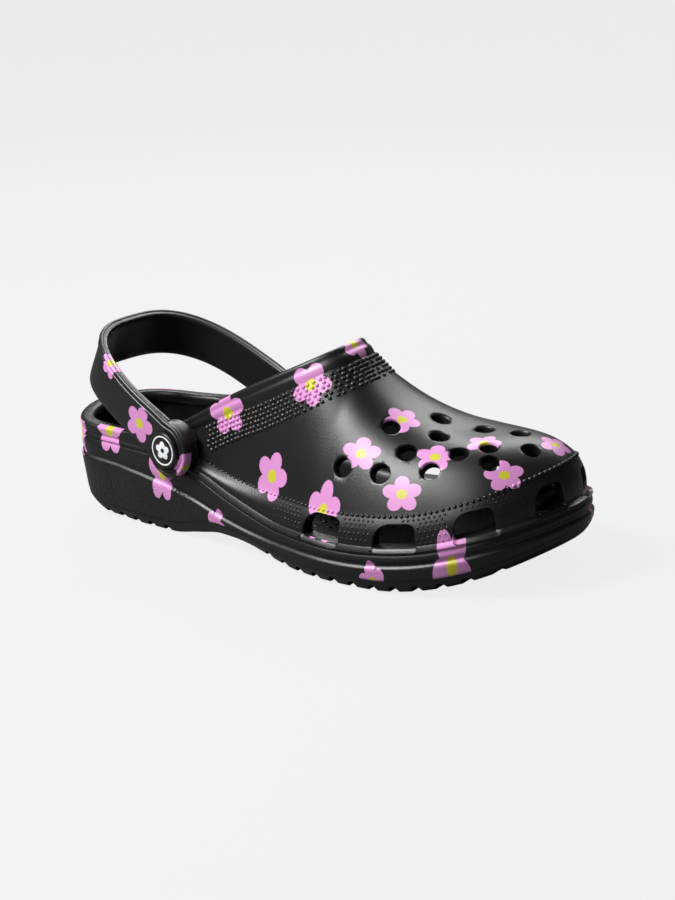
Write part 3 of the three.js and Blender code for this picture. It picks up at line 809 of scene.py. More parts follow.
# %% Heads, caps and badges
HEAD_UNDER = STRAP_THICKNESS + 2 * GAP
HEAD_TOP = HEAD_UNDER + 1.9
BADGE_TOP = HEAD_TOP - 0.25
CAP_UNDER = -EAR_THICKNESS - GAP
HEAD_PROFILE = [
    (0, CAP_UNDER - 1.1), (POST_RADIUS - 0.6, CAP_UNDER - 1.1), (POST_RADIUS, CAP_UNDER - 0.5),
    (POST_RADIUS, HEAD_UNDER), (HEAD_RADIUS - 0.3, HEAD_UNDER), (HEAD_RADIUS, HEAD_UNDER + 0.3),
    (HEAD_RADIUS, HEAD_TOP - 0.75), (HEAD_RADIUS - 0.12, HEAD_TOP - 0.4),
    (HEAD_RADIUS - 0.4, HEAD_TOP - 0.12), (HEAD_RADIUS - 0.8, HEAD_TOP),
    (BADGE_RADIUS + 0.35, HEAD_TOP), (BADGE_RADIUS + 0.15, HEAD_TOP - 0.15),
    (BADGE_RADIUS + 0.15, HEAD_TOP - 0.9), (0, HEAD_TOP - 0.9)]
CAP_PROFILE = [
    (0, CAP_UNDER - 2.4), (CAP_RADIUS - 2, CAP_UNDER - 2.3), (CAP_RADIUS - 0.8, CAP_UNDER - 1.9),
    (CAP_RADIUS - 0.1, CAP_UNDER - 1), (CAP_RADIUS, CAP_UNDER - 0.4), (CAP_RADIUS, CAP_UNDER),
    (POST_RADIUS + GAP, CAP_UNDER), (POST_RADIUS + GAP, CAP_UNDER - 1.4), (0, CAP_UNDER - 1.4)]
BADGE_PROFILE = [(0, HEAD_TOP - 0.6), (BADGE_RADIUS, HEAD_TOP - 0.6), (BADGE_RADIUS, BADGE_TOP - 0.05),
                 (BADGE_RADIUS - 0.1, BADGE_TOP), (0, BADGE_TOP)]
RING_PROFILE = [(BADGE_RADIUS - 0.75, BADGE_TOP - 0.2), (BADGE_RADIUS - 0.05, BADGE_TOP - 0.2),
                (BADGE_RADIUS - 0.05, BADGE_TOP + 0.1), (BADGE_RADIUS - 0.2, BADGE_TOP + 0.15),
                (BADGE_RADIUS - 0.6, BADGE_TOP + 0.15), (BADGE_RADIUS - 0.75, BADGE_TOP + 0.1)]


PETAL_ROOT, PETAL_TIP, HUB_RADIUS = 2.55, 4.3, 1.15


def turned(name, profile, seat):
    """A turned rivet part at a seat."""
    return lathe(name, profile, *seat, 96)


def badge_flower(name, seat):
    """A plain five-petalled flower in low relief, with an open centre."""
    point, outward = seat
    turn = 2 * math.pi * np.arange(160) / 160
    lobe = abs(np.sin(2.5 * (turn - math.pi / 2) + math.pi / 2))**0.75
    reach = PETAL_ROOT + (PETAL_TIP - PETAL_ROOT) * lobe
    sections = []
    for size, height in ((1, -0.2), (1, 0.1), (0.97, 0.16)):
        across, up = reach * size * np.cos(turn), reach * size * np.sin(turn)
        sections.append(point + outward * (BADGE_TOP + height)
                        + np.outer(across, backward) + np.outer(up, upward))
    relief = sweep(name, sections, closed=False)
    low, high = BADGE_TOP - 1, BADGE_TOP + 1
    hub = [(0, low), (HUB_RADIUS, low), (HUB_RADIUS, high), (0, high)]
    return carve(relief, [turned("flower_hub", hub, seat)])


rivets = {}
for name, seat in SEATS.items():
    rivets[name] = {
        "head": turned(f"rivet_{name}_head_turned", HEAD_PROFILE, seat),
        "cap": turned(f"rivet_{name}_cap_turned", CAP_PROFILE, seat),
        "badge": turned(f"rivet_{name}_badge_disc", BADGE_PROFILE, seat),
        "ring": turned(f"rivet_{name}_badge_ring", RING_PROFILE, seat),
        "flower": badge_flower(f"rivet_{name}_badge_flower", seat),
    }
print("rivet pieces:", sum(len(pieces) for pieces in rivets.values()))

# %% [markdown]
# ## Rows of moulded dots
# Small domes are moulded around the collar, along the ridge and on the walls between the vents. They
# could be a bump texture, but they show against the light and catch highlights, so they are real
# geometry: one Geometry Nodes tree places a dome on each point and turns it to the surface.

# %% A tree that puts domes on points
def dots_tree():
    """A dome on each point, turned to its facing and scaled by its size."""
    tree = bpy.data.node_groups.new("moulded_dots", "GeometryNodeTree")
    for socket, in_out, kind in (
            ("Geometry", "INPUT", "Geometry"), ("Dot Radius", "INPUT", "Float"),
            ("Dot Height", "INPUT", "Float"), ("Material", "INPUT", "Material"),
            ("Geometry", "OUTPUT", "Geometry")):
        tree.interface.new_socket(socket, in_out=in_out, socket_type=f"NodeSocket{kind}")
    node, link = tree.nodes.new, tree.links.new
    given, result = node("NodeGroupInput"), node("NodeGroupOutput")
    dome_mesh = node("GeometryNodeMeshUVSphere")
    dome_mesh.inputs["Segments"].default_value = 8
    dome_mesh.inputs["Rings"].default_value = 5
    dome_mesh.inputs["Radius"].default_value = 1
    facing, size = node("GeometryNodeInputNamedAttribute"), node("GeometryNodeInputNamedAttribute")
    facing.data_type, size.data_type = "FLOAT_VECTOR", "FLOAT"
    facing.inputs["Name"].default_value, size.inputs["Name"].default_value = "facing", "size"
    turn = node("FunctionNodeAlignRotationToVector")
    turn.axis = "Z"
    wide, tall, scale = node("ShaderNodeMath"), node("ShaderNodeMath"), node("ShaderNodeCombineXYZ")
    wide.operation = tall.operation = "MULTIPLY"
    placed = node("GeometryNodeInstanceOnPoints")
    real, smooth = node("GeometryNodeRealizeInstances"), node("GeometryNodeSetShadeSmooth")
    finish = node("GeometryNodeSetMaterial")
    link(facing.outputs["Attribute"], turn.inputs["Vector"])
    for math_node, socket in ((wide, "Dot Radius"), (tall, "Dot Height")):
        link(size.outputs["Attribute"], math_node.inputs[0])
        link(given.outputs[socket], math_node.inputs[1])
    for axis, math_node in (("X", wide), ("Y", wide), ("Z", tall)):
        link(math_node.outputs[0], scale.inputs[axis])
    link(given.outputs["Geometry"], placed.inputs["Points"])
    link(dome_mesh.outputs["Mesh"], placed.inputs["Instance"])
    link(turn.outputs["Rotation"], placed.inputs["Rotation"])
    link(scale.outputs["Vector"], placed.inputs["Scale"])
    link(placed.outputs["Instances"], real.inputs["Geometry"])
    link(real.outputs["Geometry"], smooth.inputs["Geometry"])
    link(smooth.outputs["Geometry"], finish.inputs["Geometry"])
    link(given.outputs["Material"], finish.inputs["Material"])
    link(finish.outputs["Geometry"], result.inputs["Geometry"])
    return tree


DOTS = dots_tree()
foam = bpy.data.materials.new("black_foam")
print("dot tree with", len(DOTS.nodes), "nodes")

# %% Bake a set of dots
def bake_dots(name, spots, radius, height):
    """Domes on surface spots, as one plain mesh. A spot is a point, its normal and a size factor."""
    points = as_object(name + "_points", [p for p, _, _ in spots], [])
    for key, kind, field, values in (
            ("facing", "FLOAT_VECTOR", "vector", [c for _, n, _ in spots for c in n]),
            ("size", "FLOAT", "value", [s for _, _, s in spots])):
        points.data.attributes.new(key, kind, "POINT").data.foreach_set(field, values)
    step = points.modifiers.new("dots", "NODES")
    step.node_group = DOTS
    sockets = {s.name: s.identifier for s in DOTS.interface.items_tree if s.in_out == "INPUT"}
    step[sockets["Dot Radius"]] = radius * MM
    step[sockets["Dot Height"]] = height * MM
    step[sockets["Material"]] = foam
    evaluated = points.evaluated_get(bpy.context.evaluated_depsgraph_get())
    mesh = bpy.data.meshes.new_from_object(evaluated)
    bpy.data.objects.remove(points)
    dots = bpy.data.objects.new(name, mesh)
    scene.collection.objects.link(dots)
    print(name, len(spots), "dots,", len(mesh.polygons), "faces")
    return dots


DOTS_OFF_BOSS, DOTS_OFF_HOLE = 1.6, 2.2


def clear_of(point, holes=True, margin=1.5):
    """Whether a dot may stand at a point: off the strap's boss, the vents and the holes."""
    if np.linalg.norm(np.cross(point - outer_seat, PIVOT_LINE)) < BOSS_RADIUS + DOTS_OFF_BOSS:
        return False
    for side, (foot, along, up, _), width, height in vents:
        a, u = (point - foot) @ along, (point - foot) @ up
        if np.sign(point[1]) == side and abs(a) < width / 2 + margin and -1 < u < height + margin:
            return False
    off_hole = HOLE_RADIUS + DOTS_OFF_HOLE
    return not holes or all(np.linalg.norm(point - spot) > off_hole for spot, _ in hole_spots)


# %% Dots around the collar
COLLAR_ROWS, COLLAR_PITCH, ROW_PITCH = 6, 2.5, 2.05
COLLAR_DOTS_FROM, FIRST_ROW_BELOW = 44, 1.2
FOLLOW_STEPS = 6


def collar_spots():
    """Rows below the roll, each found by following the skin down from the edge."""
    step = np.linalg.norm(edge_run, axis=1).sum() / 2 / len(edge)
    stride = COLLAR_PITCH / step
    spots = []
    for row in range(COLLAR_ROWS):
        for k in np.arange((row % 2) * stride / 2, len(edge), stride):
            i = int(k)
            if edge[i, 0] < COLLAR_DOTS_FROM:
                continue
            reach = roll_height(edge[i, 0]) + FIRST_ROW_BELOW + row * ROW_PITCH
            point = edge[i]
            for _ in range(FOLLOW_STEPS):
                point, normal = land(point + edge_down[i] * reach / FOLLOW_STEPS)
            if clear_of(point):
                spots.append((point, normal, 1.0))
    return spots


collar_dots = bake_dots("collar_dots", collar_spots(), 1.05, 0.8)

# %% Beads along the ridge, and rows of dots on the walls below it
RIDGE_BEAD_PITCH, WALL_PITCH, WALL_ROWS = 2.6, 2.3, 9
RIDGE_FROM = 40
FIRST_WALL_ROW, WALL_ROW_PITCH, SHELF_CLEAR = 2.4, 1.9, 2.2
WALL_DOTS_FROM, WALL_ROW_SLANT = 88, 2.2
REAR_FADE_FROM, REAR_FADE, TOE_FADE_TO, TOE_FADE = 84, 22, 216, 30


def ridge_line(inset, drop, pitch):
    """Evenly spaced points along the ridge, from one boss around the toe to the other."""
    line = ring(AROUND, lambda x: ridge_inset(x) + inset, above(ridge, -drop))
    line = line[line[:, 0] > RIDGE_FROM]
    length = np.linalg.norm(np.diff(line, axis=0), axis=1).sum()
    return resample(line, int(length / pitch))


def ridge_spots():
    """One row along the ridge, smaller towards the bosses."""
    spots = []
    for point in ridge_line(0.2, 0.1, RIDGE_BEAD_PITCH):
        spot, normal = land(point)
        if clear_of(spot, holes=False, margin=0.7):
            spots.append((spot, normal, 0.75 + 0.25 * float(np.clip((spot[0] - 90) / 50, 0, 1))))
    return spots


def wall_spots():
    """Staggered rows below the ridge, smaller downwards, to the rear and around the toe."""
    spots = []
    for row in range(WALL_ROWS):
        line = ridge_line(0, FIRST_WALL_ROW + WALL_ROW_PITCH * row, WALL_PITCH)[row % 2:]
        line = (line[:-1] + line[1:]) / 2 if row % 2 else line
        for point in line:
            too_low = point[2] < float(lip(point[0])) + SHELF_CLEAR
            if too_low or point[0] < WALL_DOTS_FROM + WALL_ROW_SLANT * row:
                continue
            spot, normal = land(point)
            toe = np.clip((TOE_FADE_TO - spot[0]) / TOE_FADE, 0.35, 1)
            rear = np.clip((spot[0] - REAR_FADE_FROM) / REAR_FADE, 0.4, 1)
            if clear_of(spot, holes=False):
                spots.append((spot, normal, (1 - 0.05 * row) * float(toe * rear)))
    return spots


ridge_beads = bake_dots("ridge_beads", ridge_spots(), 0.95, 0.8)
wall_dots = bake_dots("wall_dots", wall_spots(), 0.68, 0.42)

# %% Nubs on the footbed
NUB_PITCH, NUB_ROW_SHARE, NUB_MARGIN = 6.5, 0.87, 19
NUBS_FROM, NUBS_TO = -26, 118


def side_line(side):
    """One side of the plan outline, from the heel to the toe."""
    line = rail_points[np.sign(rail_points[:, 1]) == side]
    return line[np.argsort(line[:, 0])]


def footbed_spots():
    """Staggered rows across the footbed, as far as the toe box starts to hide it."""
    outer_side, inner_side = side_line(-1), side_line(1)
    spots = []
    for k, x in enumerate(np.arange(NUBS_FROM, NUBS_TO, NUB_PITCH * NUB_ROW_SHARE)):
        low = np.interp(x, *outer_side.T) + NUB_MARGIN
        high = np.interp(x, *inner_side.T) - NUB_MARGIN
        for y in np.arange(low + (k % 2) * NUB_PITCH / 2, high, NUB_PITCH):
            spots.append(((x, y, float(footbed(x)) + 0.05), (0, 0, 1), 1.0))
    return spots


footbed_nubs = bake_dots("footbed_nubs", footbed_spots(), 1.5, 0.55)

# %% [markdown]
# ## The flower print
# Pink five-petalled flowers are printed on the finished moulding, so they cross the dots, the ridge
# and the roll, and stretch where the wall is steep. Decals would float over the relief. Here each
# face gets coordinates in the plane of its nearest flower, and one shader draws the petals.

# %% Where the flowers are
PETAL_REACH = 8.0
# x, y, z near the surface, then the flower's width and height against PETAL_REACH, and its turn.
NEAR_FLOWERS = [
    (-29, -26, 38, 0.9, 1.3, 0), (-6, -33, 43.5, 1.05, 1.5, 0), (27, -36, 29, 1, 1.8, 0),
    (62, -29.5, 60.6, 1.25, 1.25, -20), (106, -25.5, 78.5, 1.2, 1.25, 10),
    (114, -2.5, 92.5, 0.95, 0.95, 30), (91.5, -38, 38, 1.2, 1.4, 15), (61, -41, 10, 0.75, 1.05, 20),
    (125, -48, 30.5, 1.15, 1.7, 0), (138, -35, 54.5, 1.15, 0.95, 0), (147, -16, 66.5, 1.05, 1, 15),
    (170, -26, 54, 1.1, 0.9, 0), (162, -40, 41.5, 1.15, 1, -10), (184, -10, 59, 1.05, 0.9, 10),
    (206, 11, 54, 1.05, 0.9, 0), (199, -19, 49, 1.1, 0.9, 0), (188, -44, 15, 1.05, 2.2, 36),
    (154, -54, 5, 0.8, 1.15, -15),
]
FAR_FLOWERS = [
    (-38, 10, 40, 0.9, 1.2, 10), (-22, 28, 42, 0.9, 1.15, 0), (10, 35, 34, 1, 1.4, -10),
    (58, 33, 30, 1, 1.3, 10), (70, 28, 62, 1, 1.1, 15), (104, 24, 76, 1, 1.1, 0),
    (98, 38, 42, 1, 1.2, -15), (128, 40, 34, 1, 1.2, 0), (136, 26, 58, 1, 1, 20),
    (160, 30, 50, 1, 1, 0), (150, 48, 12, 0.8, 1.3, 0),
    (184, 44, 24, 1, 1.4, 10), (208, 30, 30, 0.9, 1.2, -10),
    (216, 18, 18, 0.9, 1.2, 0),
]


def flower_frames(flowers):
    """Centre, normal, and the two in-plane directions scaled so that a petal tip lies at 1."""
    frames = []
    for x, y, z, wide_by, tall_by, turn in flowers:
        spot, normal = land((x, y, z))
        up = np.array([0, 0, 1.0]) if abs(normal[2]) < 0.85 else np.array([-1.0, 0, 0.3])
        up -= normal * (up @ normal)
        up /= np.linalg.norm(up)
        along = np.cross(up, normal)
        frames.append((spot, normal, along / (PETAL_REACH * wide_by), up / (PETAL_REACH * tall_by),
                       math.radians(turn)))
    return frames


shell_flowers = flower_frames(NEAR_FLOWERS + FAR_FLOWERS)
print(len(shell_flowers), "flowers on the clog")

# %% Give a piece its print coordinates
NO_PRINT = 9.0
PETAL_SEARCH, PRINT_DEPTH, SKIN_LIMIT = 2.0, 9, 2.4


def print_flowers(obj, frames, shell_piece=True):
    """UVs in the plane of the nearest flower for each printable face, and far away elsewhere."""
    mesh = obj.data
    count, loops = len(mesh.polygons), len(mesh.loops)
    centres, normals = np.empty(count * 3), np.empty(count * 3)
    mesh.polygons.foreach_get("center", centres)
    mesh.polygons.foreach_get("normal", normals)
    centres, normals = centres.reshape(-1, 3) / MM, normals.reshape(-1, 3)
    best, owner = np.full(count, PETAL_SEARCH), np.full(count, -1)
    for k, (spot, normal, along, up, _) in enumerate(frames):
        away = centres - spot
        reach = np.hypot(away @ along, away @ up)
        near = abs(away @ normal) < PRINT_DEPTH
        good = (reach < best) & near & (normals @ normal > -0.05)
        best[good], owner[good] = reach[good], k
    if shell_piece:
        owner[centres[:, 2] < ground(centres[:, 0]) + TREAD_DEPTH] = -1
        for i in np.flatnonzero(owner >= 0):
            _, facing, _, away = outer_skin.find_nearest(Vector(centres[i] * MM))
            if away > SKIN_LIMIT * MM or np.dot(facing, normals[i]) < -0.2:
                owner[i] = -1
    corner_of, coordinate = np.empty(loops, int), np.empty(len(mesh.vertices) * 3)
    mesh.loops.foreach_get("vertex_index", corner_of)
    mesh.vertices.foreach_get("co", coordinate)
    corners = coordinate.reshape(-1, 3)[corner_of] / MM
    starts, totals = np.empty(count, int), np.empty(count, int)
    mesh.polygons.foreach_get("loop_start", starts)
    mesh.polygons.foreach_get("loop_total", totals)
    face_of = np.repeat(np.arange(count), totals)
    uv = np.full((loops, 2), NO_PRINT)
    for k, (spot, _, along, up, turn) in enumerate(frames):
        mine = owner[face_of] == k
        flat = np.column_stack([(corners[mine] - spot) @ along, (corners[mine] - spot) @ up])
        c, s = math.cos(turn), math.sin(turn)
        uv[mine] = flat @ np.array([[c, s], [-s, c]])
    mesh.uv_layers.new(name="print").data.foreach_set("uv", uv.ravel())


for piece in (shell, collar_dots, ridge_beads, wall_dots):
    print_flowers(piece, shell_flowers)
print_flowers(footbed_nubs, [])
print("print coordinates on the shell and its dots")

# %% The strap's own flowers
def strap_flower(step, width_at, reach):
    """A flower on the band's outer face, at a step and a distance across its width."""
    outward, up = -inward[step], wide[step]
    spot = centre[step] + up * width_at + outward * HALF_STRAP
    return spot, outward, np.cross(up, outward) / reach, up / reach, 0.0


def boss_flower(name, away, reach):
    """A flower on a boss, a distance back from its pivot and up."""
    point, outward = SEATS[name]
    spot = point + outward * (GAP + STRAP_THICKNESS) + backward * away[0] + upward * away[1]
    return spot, outward, np.cross(upward, outward) / reach, upward / reach, 0.0


strap_flowers = [
    strap_flower(15, -0.5, 9), strap_flower(48, 10.5, 7), strap_flower(170, -1, 8),
    strap_flower(110, -6, 7.5), strap_flower(138, 0, 7.5),
    boss_flower("outer", (-12.5, -7.5), 8), boss_flower("inner", (-12, -8), 7.5),
]
print_flowers(strap, strap_flowers, shell_piece=False)
print(len(strap_flowers), "flowers on the strap")

# %% [markdown]
# ## Foam, plastic and print
# Closed-cell foam has a satin skin with a fine sandy grain from the tool. Two groups hold what the
# materials share: the flower mask, which turns print coordinates into petals and a centre, and the
# foam's skin, which gives grain and a faint unevenness.

# %% Helpers for shader trees
def group_tree(name, inputs, outputs):
    """A shader group with float or colour sockets; returns the tree, its input and output nodes."""
    tree = bpy.data.node_groups.new(name, "ShaderNodeTree")
    for in_out, sockets in (("INPUT", inputs), ("OUTPUT", outputs)):
        for socket, kind, value in sockets:
            made = tree.interface.new_socket(socket, in_out=in_out, socket_type=f"NodeSocket{kind}")
            if value is not None:
                made.default_value = value
    return tree, tree.nodes.new("NodeGroupInput"), tree.nodes.new("NodeGroupOutput")


def calculate(tree, operation, *values):
    """A Math node on sockets or numbers; returns its output."""
    node = tree.nodes.new("ShaderNodeMath")
    node.operation = operation
    for socket, value in zip(node.inputs, values):
        if isinstance(value, (int, float)):
            socket.default_value = value
        else:
            tree.links.new(value, socket)
    return node.outputs[0]


def noise(tree, vector, scale, detail):
    """A noise texture's value on coordinates."""
    node = tree.nodes.new("ShaderNodeTexNoise")
    node.inputs["Scale"].default_value = scale
    node.inputs["Detail"].default_value = detail
    tree.links.new(vector, node.inputs["Vector"])
    return node.outputs["Fac"]


def soft_step(tree, value, low, high):
    """0 below low and 1 above high, eased between."""
    node = tree.nodes.new("ShaderNodeMapRange")
    node.interpolation_type = "SMOOTHSTEP"
    node.inputs["From Min"].default_value = low
    node.inputs["From Max"].default_value = high
    tree.links.new(value, node.inputs["Value"])
    return node.outputs["Result"]


def blend_colour(tree, factor, first, second):
    """Mix two colours, given as sockets or RGB tuples."""
    node = tree.nodes.new("ShaderNodeMix")
    node.data_type = "RGBA"
    tree.links.new(factor, node.inputs["Factor"])
    for name, value in (("A", first), ("B", second)):
        socket = next(s for s in node.inputs if s.name == name and s.type == "RGBA")
        if isinstance(value, tuple):
            socket.default_value = (*value, 1)
        else:
            tree.links.new(value, socket)
    return next(s for s in node.outputs if s.type == "RGBA")


print("shader helpers ready")

# %% The flower mask
def flower_mask():
    """Petal and centre masks from coordinates in which a petal tip lies at radius 1."""
    tree, given, result = group_tree(
        "flower_mask", [("Coordinates", "Vector", None)],
        [("Petals", "Float", None), ("Centre", "Float", None)])
    split = tree.nodes.new("ShaderNodeSeparateXYZ")
    tree.links.new(given.outputs["Coordinates"], split.inputs[0])
    x, y = split.outputs["X"], split.outputs["Y"]
    reach = calculate(tree, "SQRT", calculate(
        tree, "ADD", calculate(tree, "MULTIPLY", x, x), calculate(tree, "MULTIPLY", y, y)))
    fifth = calculate(tree, "DIVIDE", calculate(tree, "ARCTAN2", x, y), 2 * math.pi / 5)
    offset = calculate(tree, "SUBTRACT", fifth, calculate(tree, "ROUND", fifth))
    turn = calculate(tree, "MULTIPLY", offset, 2 * math.pi / 5)
    along = calculate(tree, "MULTIPLY", reach, calculate(tree, "COSINE", turn))
    across = calculate(tree, "MULTIPLY", reach, calculate(tree, "SINE", turn))
    length = calculate(tree, "DIVIDE", calculate(tree, "SUBTRACT", along, 0.58), 0.42)
    width = calculate(tree, "DIVIDE", across, 0.37)
    petal = calculate(tree, "SQRT", calculate(
        tree, "ADD", calculate(tree, "MULTIPLY", length, length),
        calculate(tree, "MULTIPLY", width, width)))
    inside_petal = soft_step(tree, petal, 1.04, 0.96)
    inside_hub = soft_step(tree, reach, 0.47, 0.45)
    tree.links.new(calculate(tree, "MAXIMUM", inside_petal, inside_hub), result.inputs["Petals"])
    tree.links.new(soft_step(tree, reach, 0.29, 0.25), result.inputs["Centre"])
    return tree


FLOWER_MASK = flower_mask()
print("flower mask:", len(FLOWER_MASK.nodes), "nodes")

# %% The foam's skin
def foam_skin():
    """Grain height, unevenness, and the pebbled patch under the heel, from object coordinates."""
    tree, given, result = group_tree(
        "foam_skin", [("Place", "Vector", None), ("Pebble Patch", "Float", 0)],
        [("Height", "Float", None), ("Unevenness", "Float", None)])
    place = given.outputs["Place"]
    grain = noise(tree, place, 1500, 2)
    pores = noise(tree, place, 4200, 1)
    cells = tree.nodes.new("ShaderNodeTexVoronoi")
    cells.inputs["Scale"].default_value = 620
    tree.links.new(place, cells.inputs["Vector"])
    pebbles = calculate(tree, "MULTIPLY", calculate(
        tree, "SUBTRACT", 1, cells.outputs["Distance"]), given.outputs["Pebble Patch"])
    fine = calculate(tree, "ADD", calculate(tree, "MULTIPLY", grain, 0.55),
                     calculate(tree, "MULTIPLY", pores, 0.3))
    height = calculate(tree, "ADD", fine, calculate(tree, "MULTIPLY", pebbles, 3.2))
    tree.links.new(height, result.inputs["Height"])
    tree.links.new(noise(tree, place, 38, 3), result.inputs["Unevenness"])
    return tree


FOAM_SKIN = foam_skin()
print("foam skin:", len(FOAM_SKIN.nodes), "nodes")

# %% The foam material
PETAL_PINK, PETAL_DEEP, CENTRE_YELLOW = (0.60, 0.26, 0.53), (0.54, 0.21, 0.46), (0.50, 0.47, 0.03)
# Where the pebbled patch has faded out and where it is full, in millimetres.
PEBBLE_TOP, PEBBLE_FRONT, PEBBLE_FOOT = (25, 23), (52, 40), (5.5, 7.5)


def place_group(tree, group):
    """A shared group as a node of one material."""
    node = tree.nodes.new("ShaderNodeGroup")
    node.node_tree = group
    return node


def foam_finish(material, dark, light, roughness, grain_depth, printed=True, pebbled=False):
    """Satin foam with grain, and the flower print where a piece has print coordinates."""
    material.use_nodes = True
    tree = material.node_tree
    shader = tree.nodes["Principled BSDF"]
    where = tree.nodes.new("ShaderNodeTexCoord").outputs["Object"]
    skin_node = place_group(tree, FOAM_SKIN)
    tree.links.new(where, skin_node.inputs["Place"])
    if pebbled:
        split = tree.nodes.new("ShaderNodeSeparateXYZ")
        tree.links.new(where, split.inputs[0])
        low, rear, over_tread = [
            soft_step(tree, split.outputs[axis], faded * MM, full * MM) for axis, (faded, full) in (
                ("Z", PEBBLE_TOP), ("X", PEBBLE_FRONT), ("Z", PEBBLE_FOOT))]
        patch = calculate(tree, "MULTIPLY", calculate(tree, "MULTIPLY", low, rear), over_tread)
        tree.links.new(patch, skin_node.inputs["Pebble Patch"])
    colour = blend_colour(tree, skin_node.outputs["Unevenness"], dark, light)
    rough = calculate(tree, "ADD", calculate(
        tree, "MULTIPLY", skin_node.outputs["Unevenness"], 0.08), roughness - 0.04)
    if printed:
        chart = tree.nodes.new("ShaderNodeUVMap")
        chart.uv_map = "print"
        mask = place_group(tree, FLOWER_MASK)
        tree.links.new(chart.outputs["UV"], mask.inputs["Coordinates"])
        pink = blend_colour(tree, skin_node.outputs["Unevenness"], PETAL_DEEP, PETAL_PINK)
        colour = blend_colour(tree, mask.outputs["Petals"], colour, pink)
        colour = blend_colour(tree, mask.outputs["Centre"], colour, CENTRE_YELLOW)
    tree.links.new(colour, shader.inputs["Base Color"])
    tree.links.new(rough, shader.inputs["Roughness"])
    bump = tree.nodes.new("ShaderNodeBump")
    bump.inputs["Strength"].default_value = 0.45
    bump.inputs["Distance"].default_value = grain_depth * MM
    tree.links.new(skin_node.outputs["Height"], bump.inputs["Height"])
    tree.links.new(bump.outputs["Normal"], shader.inputs["Normal"])
    return material


FOAM_DARK, FOAM_LIGHT = (0.005, 0.0048, 0.005), (0.008, 0.0077, 0.008)
STRAP_DARK, STRAP_LIGHT = (0.0065, 0.0063, 0.0066), (0.0085, 0.0083, 0.0085)
foam_finish(foam, FOAM_DARK, FOAM_LIGHT, 0.39, 0.2, pebbled=True)
strap_foam = bpy.data.materials.new("black_strap_foam")
foam_finish(strap_foam, STRAP_DARK, STRAP_LIGHT, 0.38, 0.12)
print("foam materials:", foam.name, strap_foam.name)

# %% Rivet plastic and badge print
def plastic_finish(name, dark, light, roughness, grain_depth):
    """Moulded plastic with a faint grain and an uneven gloss."""
    material = bpy.data.materials.new(name)
    return foam_finish(material, dark, light, roughness, grain_depth, printed=False)


RIVET_DARK, RIVET_LIGHT = (0.006, 0.006, 0.007), (0.009, 0.009, 0.01)
BADGE_DARK, BADGE_LIGHT = (0.72, 0.73, 0.74), (0.8, 0.81, 0.82)
rivet_black = plastic_finish("rivet_black_plastic", RIVET_DARK, RIVET_LIGHT, 0.34, 0.04)
badge_white = plastic_finish("badge_white_print", BADGE_DARK, BADGE_LIGHT, 0.42, 0.03)
print("rivet materials:", rivet_black.name, badge_white.name)

# %% Put the finishes on the pieces
CREASE_ANGLE = math.radians(38)


def dress(obj, material):
    """One material and smooth faces with sharp creases."""
    obj.data.materials.clear()
    obj.data.materials.append(material)
    obj.data.shade_smooth()
    obj.data.set_sharp_from_angle(angle=CREASE_ANGLE)


for piece in (shell, collar_dots, ridge_beads, wall_dots, footbed_nubs):
    dress(piece, foam)
dress(strap, strap_foam)
for pieces in rivets.values():
    for part_name, piece in pieces.items():
        dress(piece, badge_white if part_name in ("ring", "flower") else rivet_black)
print("finishes placed")

# %% [markdown]
# ## What each piece stands for
# The moving pieces ride on the CAD's bodies, and the CAD solids that they replace are hidden, so that
# the looks move with the joints and the solids stay for collision.

# %% Ride on the bodies and hide the replaced solids
for piece in (shell, collar_dots, ridge_beads, wall_dots, footbed_nubs):
    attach(piece, "clog")
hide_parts("clog_shell")
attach(strap, "strap")
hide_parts("heel_strap")
for name, pieces in rivets.items():
    for part_name, piece in pieces.items():
        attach(piece, f"{name}_rivet")
    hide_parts(f"rivet_head_{name}")
    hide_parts(f"rivet_cap_{name}")
    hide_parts(f"rivet_badge_{name}")
print("pieces ride on their bodies")

# %% [markdown]
# ## Camera, floor and light
# A black foam shoe is drawn by its highlights. A large soft box above the vamp gives the broad sheen,
# a weak one low in front opens up the sole, and a strip behind draws the collar and the strap.

# %% Camera
TARGET = Vector((100.1, 0, 40.3)) * MM
AZIMUTH, ELEVATION, ROLL_ANGLE = math.radians(36.05), math.radians(18.04), math.radians(2.725)
DISTANCE = 1028.3 * MM
FOCAL_LENGTH = 91.6


def camera_at(target, azimuth, elevation, roll, distance, focal):
    """A camera that looks at a target from a distance, rolled about its own line of sight."""
    right = Vector((math.cos(azimuth), math.sin(azimuth), 0))
    back = Vector((math.sin(azimuth) * math.cos(elevation), -math.cos(azimuth) * math.cos(elevation),
                   math.sin(elevation)))
    up = back.cross(right)
    turned_right = right * math.cos(roll) - up * math.sin(roll)
    turned_up = right * math.sin(roll) + up * math.cos(roll)
    data = bpy.data.cameras.new("camera")
    data.lens, data.sensor_width, data.sensor_fit = focal, 36, "AUTO"
    data.clip_start, data.clip_end = 0.05, 20
    camera = bpy.data.objects.new("camera", data)
    scene.collection.objects.link(camera)
    camera.matrix_world = Matrix.Translation(target + back * distance) @ Matrix(
        (turned_right, turned_up, back)).transposed().to_4x4()
    return camera


scene.camera = camera_at(TARGET, AZIMUTH, ELEVATION, ROLL_ANGLE, DISTANCE, FOCAL_LENGTH)
print("camera", DISTANCE, "m away,", FOCAL_LENGTH, "mm")

# %% Floor and background
PALE = (0.855, 0.855, 0.855)
SKY_LOW, SKY_HIGH = (0.07, 0.07, 0.073), (0.03, 0.03, 0.033)
FLOOR_RADIUS, FLOOR_DROP, FLOOR_GLOW = 9, 0.0004, 0.96


